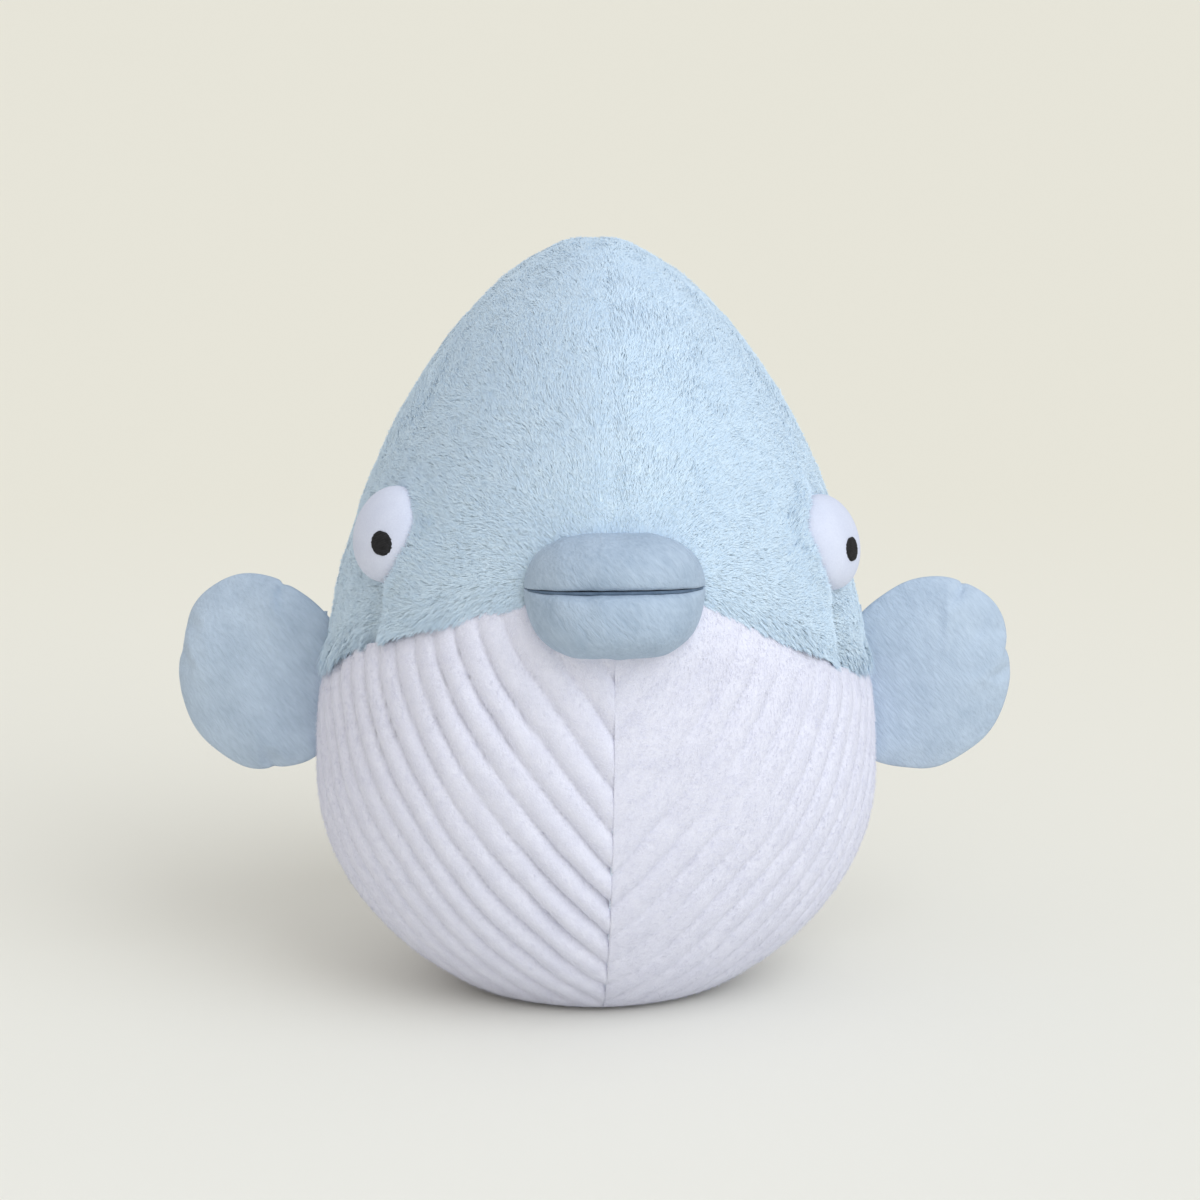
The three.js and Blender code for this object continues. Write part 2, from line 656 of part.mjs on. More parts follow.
const tail = new THREE.Group();
tail.name = 'tail';
tail.position.set(0, REAR_Y + HINGE_OFFSET, TAIL_HEIGHT);
tail.rotation.z = Math.PI / 2;
tail.add(piece('tail_left_panel', tailParts.near, VELOUR_BLUE));
tail.add(piece('tail_right_panel', tailParts.far, VELOUR_BLUE));
tail.add(piece('tail_stuffing', tailParts.stuffing, FILL_WHITE));
tail.add(piece('tail_root_thread', rootThread(TAIL_ROOT_SPAN), THREAD_PALE));
fish.add(tail);

fish.add(piece('back_seam_thread', centreSeam(90, 24, 174), THREAD_PALE));
fish.add(piece('belly_seam_thread', centreSeam(-90, 24, 174), THREAD_PALE));
fish.add(piece('upper_lip_cover', toGeometry(upperLip.cover), VELOUR_BLUE));
fish.add(piece('upper_lip_stuffing', toGeometry(upperLip.stuffing), FILL_WHITE));
fish.add(piece('lower_lip_cover', toGeometry(lowerLip.cover), VELOUR_BLUE));
fish.add(piece('lower_lip_stuffing', toGeometry(lowerLip.stuffing), FILL_WHITE));
fish.add(piece('mouth_thread', mouthThread(), MOUTH_SLATE));
fish.add(piece('body_stuffing', toGeometry(filling.stuffing), FILL_WHITE));
fish.add(piece('pellet_pouch', toGeometry(filling.pouch), POUCH_CLOTH));

export default fish;
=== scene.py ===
# %% [markdown]
# # A plush pufferfish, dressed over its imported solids
# The toy is a stuffed fish that sits on a flat base and looks at us. Its back is long blue pile,
# its belly is white plush with wide slanted ribs, and its lips, fins and tail are blue velour.
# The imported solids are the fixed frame. Everything below is built in that same frame, in metres,
# and each soft solid is replaced by a piece that has the real one's cloth, pile and puckers.

# %% Load the frame
import math

import bpy
import numpy as np
from mathutils import Matrix, Vector, kdtree


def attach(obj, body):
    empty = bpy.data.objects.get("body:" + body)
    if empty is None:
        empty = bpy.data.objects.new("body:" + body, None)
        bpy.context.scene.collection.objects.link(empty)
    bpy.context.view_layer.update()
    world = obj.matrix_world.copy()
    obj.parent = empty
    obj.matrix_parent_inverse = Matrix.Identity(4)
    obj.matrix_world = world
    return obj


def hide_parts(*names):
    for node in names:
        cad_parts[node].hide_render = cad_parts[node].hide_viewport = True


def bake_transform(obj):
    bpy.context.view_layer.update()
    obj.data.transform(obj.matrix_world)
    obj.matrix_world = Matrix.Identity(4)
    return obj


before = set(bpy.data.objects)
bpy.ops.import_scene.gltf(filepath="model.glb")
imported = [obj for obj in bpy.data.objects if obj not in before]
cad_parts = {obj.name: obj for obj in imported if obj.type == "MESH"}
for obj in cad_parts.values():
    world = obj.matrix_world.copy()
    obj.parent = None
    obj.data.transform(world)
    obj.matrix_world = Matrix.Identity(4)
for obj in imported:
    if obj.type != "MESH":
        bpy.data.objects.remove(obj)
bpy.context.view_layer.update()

MM = 0.001

# %% [markdown]
# ## Camera
# The photograph looks at the fish from a little above and a few degrees to one side, with a long
# lens. A long lens far away keeps the nose from swelling, which a short lens close by would do.
# The small shift puts the fish a little below the middle of the picture, as it is in the photograph.

# %% Camera
AIM = Vector((0.0, -0.020, 0.130))
CAMERA_TURN, CAMERA_RISE, CAMERA_AWAY = -3.5, 12.0, 1.5
LENS_LENGTH, SENSOR_WIDTH, LENS_SHIFT = 125.0, 36.0, (0.0025, 0.029)


def seen_from(turn, rise):
    """Unit vector from the fish toward a viewer at that turn and height in degrees."""
    a, e = math.radians(turn), math.radians(rise)
    return Vector((math.sin(a) * math.cos(e), -math.cos(a) * math.cos(e), math.sin(e)))


lens = bpy.data.cameras.new("photo_lens")
lens.lens, lens.sensor_width = LENS_LENGTH, SENSOR_WIDTH
lens.shift_x, lens.shift_y = LENS_SHIFT
camera = bpy.data.objects.new("photo_camera", lens)
bpy.context.scene.collection.objects.link(camera)
camera.location = AIM + seen_from(CAMERA_TURN, CAMERA_RISE) * CAMERA_AWAY
camera.rotation_euler = (AIM - camera.location).to_track_quat("-Z", "Y").to_euler()
bpy.context.scene.camera = camera
bpy.context.scene.view_settings.view_transform = "Standard"
print("camera at", [round(x, 3) for x in camera.location])

# %% [markdown]
# ## Node helpers
# Materials here are small node trees. Helpers keep them readable: they add a node with its values,
# mix two colours, stretch the range of a value, and let a pattern tilt the surface.

# %% Node helpers


def set_values(node, values):
    """Constant values on a node's sockets."""
    for key, value in values.items():
        node.inputs[key].default_value = value


def add_node(tree, kind, values=None, **settings):
    """A new node with its settings and with constant values on its sockets."""
    made = tree.nodes.new(kind)
    for key, value in settings.items():
        setattr(made, key, value)
    set_values(made, values or {})
    return made


def new_material(name):
    """A material with only a Principled shader, and that shader."""
    material = bpy.data.materials.new(name)
    material.use_nodes = True
    shader = material.node_tree.nodes["Principled BSDF"]
    return material, material.node_tree, shader


def mix_colours(tree, factor, first, second):
    """Socket that runs from the first colour to the second one as the factor goes from 0 to 1."""
    mix = add_node(tree, "ShaderNodeMix", data_type="RGBA")
    tree.links.new(factor, mix.inputs[0])
    for socket, colour in ((mix.inputs[6], first), (mix.inputs[7], second)):
        if isinstance(colour, tuple):
            socket.default_value = (*colour, 1.0)
        else:
            tree.links.new(colour, socket)
    return mix.outputs[2]


def spread_range(tree, value, low, high):
    """Socket that stretches the part of a value between low and high to 0 and 1."""
    spread = add_node(tree, "ShaderNodeMapRange", {"From Min": low, "From Max": high})
    tree.links.new(value, spread.inputs["Value"])
    return spread.outputs["Result"]


def combine(tree, operation, first, second):
    """Socket with two values added, or combined by another operation."""
    made = add_node(tree, "ShaderNodeMath", operation=operation)
    tree.links.new(first, made.inputs[0])
    tree.links.new(second, made.inputs[1])
    return made.outputs[0]


def add_bump(tree, shader, height, strength, depth):
    """Lets a height pattern tilt the shader's normals."""
    bump = add_node(tree, "ShaderNodeBump", {"Strength": strength, "Distance": depth})
    tree.links.new(height, bump.inputs["Height"])
    tree.links.new(bump.outputs["Normal"], shader.inputs["Normal"])


print("node helpers ready")

# %% [markdown]
# ## Fibre pattern
# Every cloth of the toy is a pile cloth: thousands of fibres that lie in soft patches. One group
# gives two patterns at sizes that each material chooses, broad patches where the pile lies
# differently and the fine grain of the fibres. Its nap stretches the grain along one direction.

# %% Fibre pattern group
EVEN_NAP, UPRIGHT = (1.0, 1.0, 1.0), (0.0, 0.0, 0.0)
fibres = bpy.data.node_groups.new("fibre_pattern", "ShaderNodeTree")
for title, kind, way in (
    ("Patch Scale", "NodeSocketFloat", "INPUT"),
    ("Fibre Scale", "NodeSocketFloat", "INPUT"),
    ("Nap", "NodeSocketVector", "INPUT"),
    ("Lean", "NodeSocketVector", "INPUT"),
    ("Patch", "NodeSocketFloat", "OUTPUT"),
    ("Fibre", "NodeSocketFloat", "OUTPUT"),
):
    fibres.interface.new_socket(title, in_out=way, socket_type=kind)
group_in = fibres.nodes.new("NodeGroupInput")
group_out = fibres.nodes.new("NodeGroupOutput")
place = fibres.nodes.new("ShaderNodeTexCoord")
leaned = add_node(fibres, "ShaderNodeVectorRotate", rotation_type="EULER_XYZ")
combed = add_node(fibres, "ShaderNodeVectorMath", operation="MULTIPLY")
broad = add_node(fibres, "ShaderNodeTexNoise", {"Detail": 2.0, "Roughness": 0.55})
grain = add_node(fibres, "ShaderNodeTexNoise", {"Detail": 3.0, "Roughness": 0.6})
for source, target in (
    (place.outputs["Object"], leaned.inputs["Vector"]),
    (group_in.outputs["Lean"], leaned.inputs["Rotation"]),
    (leaned.outputs[0], combed.inputs[0]),
    (group_in.outputs["Nap"], combed.inputs[1]),
    (place.outputs["Object"], broad.inputs["Vector"]),
    (group_in.outputs["Patch Scale"], broad.inputs["Scale"]),
    (combed.outputs[0], grain.inputs["Vector"]),
    (group_in.outputs["Fibre Scale"], grain.inputs["Scale"]),
    (broad.outputs["Fac"], group_out.inputs["Patch"]),
    (grain.outputs["Fac"], group_out.inputs["Fibre"]),
):
    fibres.links.new(source, target)


def fibre_pattern(tree, patch_scale, fibre_scale, nap=EVEN_NAP, lean=UPRIGHT):
    """The fibre group placed in a material, with its two output sockets."""
    sizes = {"Patch Scale": patch_scale, "Fibre Scale": fibre_scale, "Nap": nap, "Lean": lean}
    group = add_node(tree, "ShaderNodeGroup", sizes, node_tree=fibres)
    return group.outputs["Patch"], group.outputs["Fibre"]


print("fibre group has", len(fibres.nodes), "nodes")

# %% [markdown]
# ## Finishes
# Each finish starts from the colour that the cloth has under plain light, with painted light and shade in
# three places: the backing and the roots of the blue pile are painted paler against the shade among the
# strands, and the near-black mouth thread is partly painted shade in the crease of the lips. Patches and
# grain then move it a little up and down, and the grain also tilts the surface. Sheen gives the pale rim
# that fibres show when they are seen edge on, which no smooth surface has.

# %% Finishes
TONE_RANGE, ROUGHNESS_RANGE, GRAIN_STRENGTH = (0.65, 1.35), (-3.0, 1.2), 0.5
# The last range is how far up each strand its root colour, painted light on the blue pile, fades into its
# own tone
STRAND_PATCH, STRAND_FIBRE, STRAND_TONES, STRAND_ROOT_LIGHT_FADE = 45.0, 900.0, (0.2, 1.4), (0.0, 0.7)


def pile_cloth(name, shade, light, patch, fibre, depth, sheen, nap=EVEN_NAP, lean=UPRIGHT):
    """A short pile cloth: colour between two tones, fine relief and sheen."""
    material, tree, shader = new_material(name)
    patches, grains = fibre_pattern(tree, patch, fibre, nap, lean)
    tone = spread_range(tree, combine(tree, "ADD", patches, grains), *TONE_RANGE)
    tree.links.new(mix_colours(tree, tone, shade, light), shader.inputs["Base Color"])
    tree.links.new(spread_range(tree, grains, *ROUGHNESS_RANGE), shader.inputs["Roughness"])
    add_bump(tree, shader, grains, GRAIN_STRENGTH, depth)
    set_values(shader, {"Specular IOR Level": 0.2, "Sheen Weight": sheen,
                        "Sheen Roughness": 0.45, "Sheen Tint": (*light, 1.0)})
    return material


def strand_pile(name, root, shade, light, sheen):
    """Pile of single strands, each with its own tone; the paler root of the blue pile is painted light."""
    material, tree, shader = new_material(name)
    reach = add_node(tree, "ShaderNodeAttribute", attribute_name="pile_reach")
    tone = add_node(tree, "ShaderNodeAttribute", attribute_name="pile_tone")
    patches, _ = fibre_pattern(tree, STRAND_PATCH, STRAND_FIBRE)
    both = combine(tree, "ADD", tone.outputs["Fac"], patches)
    own = mix_colours(tree, spread_range(tree, both, *STRAND_TONES), shade, light)
    # Painted light: near the root the strand takes the root colour, which on the blue pile is paler than
    # its tones
    root_light_fade = spread_range(tree, reach.outputs["Fac"], *STRAND_ROOT_LIGHT_FADE)
    tree.links.new(mix_colours(tree, root_light_fade, root, own), shader.inputs["Base Color"])
    set_values(shader, {"Roughness": 0.85, "Specular IOR Level": 0.15, "Sheen Weight": sheen,
                        "Sheen Roughness": 0.5, "Sheen Tint": (*light, 1.0)})
    return material


# Each pile: colour at the root, then a darker and a paler tone that vary at random, then its sheen.
# The blue pile's paler root is painted light that lifts the shade deep among its strands.
PILES = {
    "blue_long_pile": ((0.74, 0.88, 0.98), (0.60, 0.75, 0.90), (0.69, 0.83, 0.96), 0.2),
    "white_short_pile": ((0.80, 0.81, 0.93), (0.79, 0.80, 0.92), (0.84, 0.85, 0.96), 0.1),
}
# Velour is brushed aslant: how its grain is stretched, and how it leans
VELOUR_NAP = ((1.0, 1.0, 0.25), (0.0, 0.7, 0.0))
# Each cloth: a darker and a paler tone that vary by patch and grain, scales of its patches and fibres,
# depth of its relief, sheen
CLOTHS = {
    # Painted light: the backing is paler than the pile above it, to lift the shade in the gaps between
    # strands
    "blue_backing_painted_light": ((0.72, 0.86, 0.96), (0.78, 0.90, 0.98), 60.0, 900.0, 0.0008, 0.1),
    "white_rib_plush": ((0.70, 0.71, 0.83), (0.79, 0.80, 0.91), 120.0, 1300.0, 0.0005, 0.2),
    "blue_velour": ((0.31, 0.40, 0.52), (0.45, 0.55, 0.68), 70.0, 900.0, 0.0012, 0.2, *VELOUR_NAP),
    "fin_velour": ((0.38, 0.47, 0.59), (0.50, 0.60, 0.73), 70.0, 900.0, 0.0010, 0.2, *VELOUR_NAP),
    "white_velour": ((0.60, 0.64, 0.78), (0.68, 0.72, 0.85), 90.0, 1700.0, 0.0002, 0.2),
    "seam_thread": ((0.66, 0.74, 0.84), (0.76, 0.82, 0.90), 400.0, 3000.0, 0.0002, 0.1),
    "root_thread": ((0.38, 0.48, 0.60), (0.48, 0.58, 0.70), 400.0, 3000.0, 0.0002, 0.1),
    # Near black: the thread's own dark colour, and partly painted shade that darkens the crease between the
    # lips
    "mouth_thread": ((0.07, 0.11, 0.17), (0.14, 0.20, 0.29), 300.0, 3000.0, 0.0002, 0.1),
    "black_embroidery": ((0.010, 0.010, 0.011), (0.030, 0.030, 0.033), 500.0, 2600.0, 0.0002, 0.1),
    "fibre_fill": ((0.78, 0.78, 0.75), (0.90, 0.90, 0.88), 60.0, 500.0, 0.002, 0.3),
    "pellet_bag": ((0.60, 0.57, 0.50), (0.72, 0.69, 0.62), 200.0, 2200.0, 0.0003, 0.1),
}
PILE = {name: strand_pile(name, *values) for name, values in PILES.items()}
CLOTH = {name: pile_cloth(name, *values) for name, values in CLOTHS.items()}
print("finishes", sorted(material.name for material in bpy.data.materials))

# %% [markdown]
# ## Body form
# The body is one smooth form, like an egg with a pinched nose. Two angles name each place on it.
# The station runs from the mouth at 0 to the tail root at 180. The ring angle runs from the belly
# seam at -90 over the widest line at 0 to the back seam at 90. The numbers are those of the solids,
# in millimetres, so cloth and pile that grow from this form lie exactly where the solids are.

# %% Body form
FISH_Y = -14.45
FACE_Y, REAR_Y, WIDEST_Y, CREST_Y, BASE_Y = -106.0, 106.0, 2.0, 6.0, -4.0
HALF_WIDTH, HEIGHT, WIDEST_HEIGHT, BASE_SINK, BASE_SOFTNESS = 101.5, 274.0, 80.0, 10.0, 4.0
MOUTH_HEIGHT, TAIL_HEIGHT, HALF_TAIL_ROOT = 169.0, 138.0, 18.0
SEAM_AT_POLES, SEAM_AT_FLANK, MOUTH_STATION = 19.0, 13.0, 4.0
SEAM_SWAY, SWAY_STARTS, SWAY_ENDS = {1.0: -1.6, -1.0: 2.2}, (12, 30), (60, 90)
# Powers that round the form: of its front and its rear, and of its upper and its lower side
CREST_POWER, KEEL_POWER, WIDTH_POWER = (0.95, 1.15), (0.85, 1.0), (0.92, 1.2)
SIDE_POWER = (1.24, 1.12)
ANGLE_STEP, FIRST_ANGLE, LAST_ANGLE = 0.4, 0.05, 179.95
NOISE_WAVES, NOISE_PACE, NOISE_CALM = 7, (0.6, 1.5), 2.6


def unit(vectors):
    """Rows of vectors brought to length 1."""
    return vectors / np.maximum(np.linalg.norm(vectors, axis=-1, keepdims=True), 1e-9)


def lerp(a, b, share):
    """Value at a share of the way from a to b."""
    return a + (b - a) * share


def ease(value, low, high):
    """Smooth step from 0 at low to 1 at high."""
    t = np.clip((value - low) / (high - low), 0, 1)
    return t * t * (3 - 2 * t)


def bell(distance, width):
    """Soft bump that is 1 in its middle and fades over the width."""
    return np.exp(-((distance / width) ** 2))


def body_form(station, ring):
    """Points on the left side of the body, in mm."""
    station, ring = np.broadcast_arrays(np.asarray(station, float), np.asarray(ring, float))
    girth = np.clip(np.sin(np.radians(station)), 0, None)
    reach = np.abs(np.cos(np.radians(station)))
    rise = np.abs(np.sin(np.radians(ring)))
    front, upper = station < 90, ring > 0
    pole = np.where(front, MOUTH_HEIGHT, TAIL_HEIGHT)
    half_root = np.where(front, 0.0, HALF_TAIL_ROOT)
    crest = lerp(pole + half_root, HEIGHT, girth ** np.where(front, *CREST_POWER))
    keel = lerp(pole - half_root, -BASE_SINK, girth ** np.where(front, *KEEL_POWER))
    flank = lerp(pole, WIDEST_HEIGHT, girth)
    narrow = girth ** np.where(front, *WIDTH_POWER)
    lean = np.where(upper, *SIDE_POWER)
    x = HALF_WIDTH * narrow * np.clip(np.cos(np.radians(ring)), 0, None) ** lean
    middle = lerp(WIDEST_Y, np.where(upper, CREST_Y, BASE_Y), rise)
    y = lerp(middle, np.where(front, FACE_Y, REAR_Y), reach) + FISH_Y
    z = lerp(flank, np.where(upper, crest, keel), rise)
    soft = (np.clip(z, -BASE_SOFTNESS, None) + BASE_SOFTNESS) ** 2 / (4 * BASE_SOFTNESS)
    return np.stack([x, y, np.where(z > BASE_SOFTNESS, z, soft)], -1)


def body_frame(station, ring):
    """Points with their rearward, upward and outward directions."""
    station, ring = np.broadcast_arrays(np.asarray(station, float), np.asarray(ring, float))
    ahead = body_form(np.minimum(station + ANGLE_STEP, LAST_ANGLE), ring)
    rearward = unit(ahead - body_form(np.maximum(station - ANGLE_STEP, FIRST_ANGLE), ring))
    above = body_form(station, np.minimum(ring + ANGLE_STEP, 90))
    upward = unit(above - body_form(station, np.maximum(ring - ANGLE_STEP, -90)))
    return body_form(station, ring), rearward, upward, unit(np.cross(rearward, upward))


def side_seam(station, turn):
    """Ring angle of the seam between back and belly, which isn't quite even on the two sides."""
    even = lerp(SEAM_AT_POLES, SEAM_AT_FLANK, np.sin(np.radians(station)))
    return even + SEAM_SWAY[turn] * ease(station, *SWAY_STARTS) * (1 - ease(station, *SWAY_ENDS))


def soft_noise(points, size, seed):
    """Smooth noise near -1 to 1 over points in mm, with bumps of about the given size."""
    rng = np.random.default_rng(seed)
    total = np.zeros(points.shape[:-1])
    for _ in range(NOISE_WAVES):
        way = unit(rng.normal(size=3)) * rng.uniform(*NOISE_PACE) * math.pi / size
        total += np.sin(points @ way + rng.uniform(0, 2 * math.pi))
    return total / NOISE_CALM


stations, rings = np.linspace(MOUTH_STATION, 180, 60)[:, None], np.linspace(-90, 90, 60)[None, :]
check = body_form(stations, rings).reshape(-1, 3)
print("body form spans in mm", check.min(0).round(1), check.max(0).round(1))

# %% [markdown]
# ## Mesh helpers
# Meshes of many thousand points are written in blocks of numbers, because adding faces one by one
# is slow. A cloth panel is a closed sheet: an outer grid, an inner grid and the rim between them,
# so that the mesh has a real thickness.

# %% Mesh helpers
SIDES = (("left", 1.0), ("right", -1.0))


def block_mesh(name, points, faces, material):
    """An object from points in mm and blocks of faces with equal numbers of corners."""
    corners = np.concatenate([f.ravel() for f in faces]).astype(np.int32)
    sizes = np.concatenate([np.full(len(f), f.shape[1]) for f in faces])
    mesh = bpy.data.meshes.new(name)
    mesh.vertices.add(len(points))
    mesh.vertices.foreach_set("co", (points * MM).astype(np.float32).ravel())
    mesh.loops.add(len(corners))
    mesh.loops.foreach_set("vertex_index", corners)
    mesh.polygons.add(len(sizes))
    starts = np.concatenate([[0], np.cumsum(sizes)[:-1]])
    mesh.polygons.foreach_set("loop_start", starts.astype(np.int32))
    mesh.update(calc_edges=True)
    mesh.validate()
    mesh.shade_smooth()
    mesh.materials.append(material)
    made = bpy.data.objects.new(name, mesh)
    bpy.context.scene.collection.objects.link(made)
    return made


def add_values(piece, name, values):
    """A number for each point of a mesh, which a material reads by its name."""
    attribute = piece.data.attributes.new(name, "FLOAT", "POINT")
    attribute.data.foreach_set("value", np.asarray(values, np.float32).ravel())


def grid_faces(rows, columns, start=0, round_about=False):
    """Corners of the quads of a grid whose points are numbered row by row."""
    i = np.arange(rows - 1)[:, None]
    j = np.arange(columns if round_about else columns - 1)[None, :]
    k = (j + 1) % columns
    quads = np.stack([i * columns + j, (i + 1) * columns + j, (i + 1) * columns + k, i * columns + k], -1)
    return quads.reshape(-1, 4) + start


def tube_faces(rows, columns):
    """Faces of a grid that runs round, with a face that closes each end."""
    first = np.arange(columns)[None, :]
    last = first[:, ::-1] + (rows - 1) * columns
    return [grid_faces(rows, columns, round_about=True), first, last]


def sheet_faces(rows, columns):
    """Quads of a closed sheet: an outer grid, then an inner grid, then the rim."""
    count = rows * columns
    outer = grid_faces(rows, columns)
    inner = outer[:, ::-1] + count
    top = np.arange(columns)
    bottom = top[::-1] + (rows - 1) * columns
    left = np.arange(rows)[::-1] * columns
    right = np.arange(rows) * columns + columns - 1
    edge = np.concatenate([top[:-1], right[:-1], bottom[:-1], left[:-1]])
    after = np.roll(edge, -1)
    rim = np.stack([edge, after, after + count, edge + count], -1)
    return np.concatenate([outer, inner, rim])


def flipped(blocks, wanted):
    """Blocks of faces, turned to look the other way where that is wanted."""
    return [block[:, ::-1] for block in blocks] if wanted else blocks


def mirrored(points, turn):
    """Points or directions of the left side, turned to the side that is wanted."""
    return points * np.array([turn, 1.0, 1.0])


def dress(piece, body, slot, *nodes, fill=None):
    """Rides the piece on its body and hides the solids it stands for; its finish slot is not used."""
    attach(piece, body)
    if nodes:
        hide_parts(*nodes)
    print(piece.name, len(piece.data.polygons), "faces")
    return piece


print("mesh helpers ready")

# %% [markdown]
# ## Eye and fin places
# The pile stops where the eyes, lips, fins and tail are sewn on, so their places are needed before
# it grows. They are worked out from the same angles as in the solids.

# %% Eye and fin places
EYE_STATION, EYE_RING, EYE_TURN = {1.0: 62.0, -1.0: 60.0}, {1.0: 28.0, -1.0: 30.0}, 8.0
EYE_WIDTH, EYE_TALL, EYE_REACH = 35.0, 34.0, 10.0
LIP_WIDTH, LIP_HEIGHT, LIP_REACH, LIP_WRAP, LIP_ARCH = 61.0, 20.5, 22.0, 5.0, 2.0
FIN_STATION, FIN_RING, FIN_SWEEP, HINGE_OFFSET = 96.0, 10.0, {1.0: -2.0, -1.0: 12.0}, 0.9
FIN_LENGTH, FIN_SPAN, FIN_DROOP = 55.0, 74.0, {1.0: 16.0, -1.0: 10.0}
TAIL_LENGTH, TAIL_SPAN, TAIL_FLARE = 50.0, 78.0, 0.45


def turned(vector, axis, degrees):
    """A vector turned about an axis."""
    return np.array(Matrix.Rotation(math.radians(degrees), 3, Vector(axis)) @ Vector(vector))


def eye_place(turn):
    """Centre of one eye and its rearward, outward and upward directions, as for the left side."""
    centre, _, _, outward = body_frame(EYE_STATION[turn], EYE_RING[turn])
    outward = turned(outward, (0, 0, 1), -EYE_TURN)
    rearward = unit(np.cross((0, 0, 1), outward))
    return centre, rearward, outward, np.cross(outward, rearward)


def fin_place(turn):
    """Root of one fin and its reaching, thickness and hinge directions, as for the left side."""
    root, _, _, outward = body_frame(FIN_STATION, FIN_RING)
    hinge = body_form(FIN_STATION, FIN_RING + 1) - body_form(FIN_STATION, FIN_RING - 1)
    hinge = unit(hinge * np.array([1.0, 0.0, 1.0]))
    reach = turned(unit(outward - hinge * (outward @ hinge)), hinge, FIN_SWEEP[turn])
    return root + outward * HINGE_OFFSET, reach, np.cross(hinge, reach), hinge


def mouth_drop(x):
    """How far the mouth line has dropped at a distance from its middle, in mm."""
    return LIP_ARCH * (x / (LIP_WIDTH / 2)) ** 2


EYE = {turn: eye_place(turn) for _, turn in SIDES}
FIN = {turn: fin_place(turn) for _, turn in SIDES}
TAIL = (np.array([0.0, REAR_Y + HINGE_OFFSET + FISH_Y, TAIL_HEIGHT]),
        np.array([0.0, 1.0, 0.0]), np.array([-1.0, 0.0, 0.0]), np.array([0.0, 0.0, 1.0]))
print("left eye at", EYE[1.0][0].round(1), "fin root at", FIN[1.0][0].round(1))

# %% [markdown]
# ## Back cloth
# Under the pile lies the knitted backing that the fibres are tufted into. It is drawn as a closed
# sheet a few millimetres inside the outline of the solids, so that the tips of the pile end on that
# outline. Its crown is a little rounder than the solid's, and it tucks in along the side seam. Its colour
# is painted paler than the pile: painted light that lifts the shade in the gaps between the strands.

# %% Back cloth
PILE_INSET, BACKING_THICKNESS, MIDDLE_GAP, LAST_STATION = 2.2, 1.3, 0.03, 179.0
CROWN_ROUNDING, CROWN_WIDTH, CROWN_RINGS = 1.6, 7.0, (60, 80)
SEAM_TUCK, TUCK_WIDTH = 1.6, 7.0
SOCKET_RISE, SOCKET_AWAY, SOCKET_WIDTH, SOCKET_FRONT = 2.4, 4.5, 4.0, (0.0, 0.35)
CHEEK_SWELL, CHEEK_STATION, CHEEK_WIDTH = 2.0, 45.0, 8.0
CREASE_DEPTH, CREASE_STATION, CREASE_WIDTH, CREASE_LEAN = 3.0, 56.0, 2.8, 0.25
CREASE_MIDDLE, CREASE_TOP = 20, (26.0, 36.0)


def back_ring(station, share, turn):
    """Ring angle at a share of the way from the side seam up to the back seam."""
    return lerp(side_seam(station, turn), 90.0, share)


def cheek_swell(station, ring):
    """How far the cheek stands out in front of the crease below the eye, in mm."""
    below_eye = 1 - ease(ring, *CREASE_TOP)
    swell = CHEEK_SWELL * bell(station - CHEEK_STATION, CHEEK_WIDTH)
    slanted = station - CREASE_STATION - CREASE_LEAN * (CREASE_MIDDLE - ring)
    return (swell - CREASE_DEPTH * bell(slanted, CREASE_WIDTH)) * below_eye


def from_eye_edge(points, turn):
    """Distance of points from the edge of one eye in mm, and how squarely they lie in front of it."""
    centre, rearward, _, upward = EYE[turn]
    behind, above = (points - centre) @ rearward, (points - centre) @ upward
    share = np.sqrt((behind / (EYE_WIDTH / 2)) ** 2 + (above / (EYE_TALL / 2)) ** 2)
    return (share - 1) * EYE_WIDTH / 2, ease(-behind / EYE_WIDTH, *SOCKET_FRONT)


def back_surface(station, ring, turn, deeper=0.0):
    """Points of one side's backing, with rearward, upward and outward directions, as for the left."""
    point, rearward, upward, outward = body_frame(station, ring)
    low = body_form(station, side_seam(station, turn) + 0 * ring)
    from_side = np.linalg.norm(point - low, axis=-1)
    crown = CROWN_ROUNDING * bell(point[..., 0], CROWN_WIDTH) * ease(ring, *CROWN_RINGS)
    tuck = SEAM_TUCK * bell(from_side, TUCK_WIDTH)
    edge, ahead = from_eye_edge(point, turn)
    socket = SOCKET_RISE * bell(edge - SOCKET_AWAY, SOCKET_WIDTH) * ahead
    inset = PILE_INSET + crown + tuck + deeper - cheek_swell(station, ring) - socket
    point = point - outward * inset[..., None]
    point[..., 0] = np.maximum(point[..., 0], MIDDLE_GAP)
    return point, rearward, upward, outward, from_side


rows, columns = 150, 70
station = np.linspace(MOUTH_STATION, LAST_STATION, rows)[:, None]
for side, turn in SIDES:
    ring = back_ring(station, np.linspace(0, 1, columns)[None, :], turn)
    layers = [back_surface(station, ring, turn, depth)[0] for depth in (0.0, BACKING_THICKNESS)]
    points = np.concatenate([layer.reshape(-1, 3) for layer in layers])
    faces = flipped([sheet_faces(rows, columns)], turn > 0)
    cloth = block_mesh(f"back_cloth_{side}", mirrored(points, turn), faces, CLOTH["blue_backing_painted_light"])
    dress(cloth, "body", "blue_fur", f"back_panel_{side}", fill=0.8)

# %% [markdown]
# ## Long pile
# Fur can be made with Blender's hair, but hair isn't a mesh and is lost on export. Here each strand
# is a bent ribbon of two faces: a root, a bend and a point. The strands lie backward from the mouth
# and turn down over the flanks, gather in small tufts, and hang over the side seam in a ragged edge.
# Their normals lean toward the cloth's own, so that the coat shades softly like deep pile.

# %% Strand builder
SOFT_NORMALS, ROOT_WIDTH = 0.85, 0.7
# A strand's five points: how far each is from root to tip, and its spot in the strand's cell
REACH = (0.0, 0.0, 0.55, 0.55, 1.0)
SPOTS = np.array([[0.1, 0.08], [0.9, 0.08], [0.1, 0.55], [0.9, 0.55], [0.5, 0.95]])


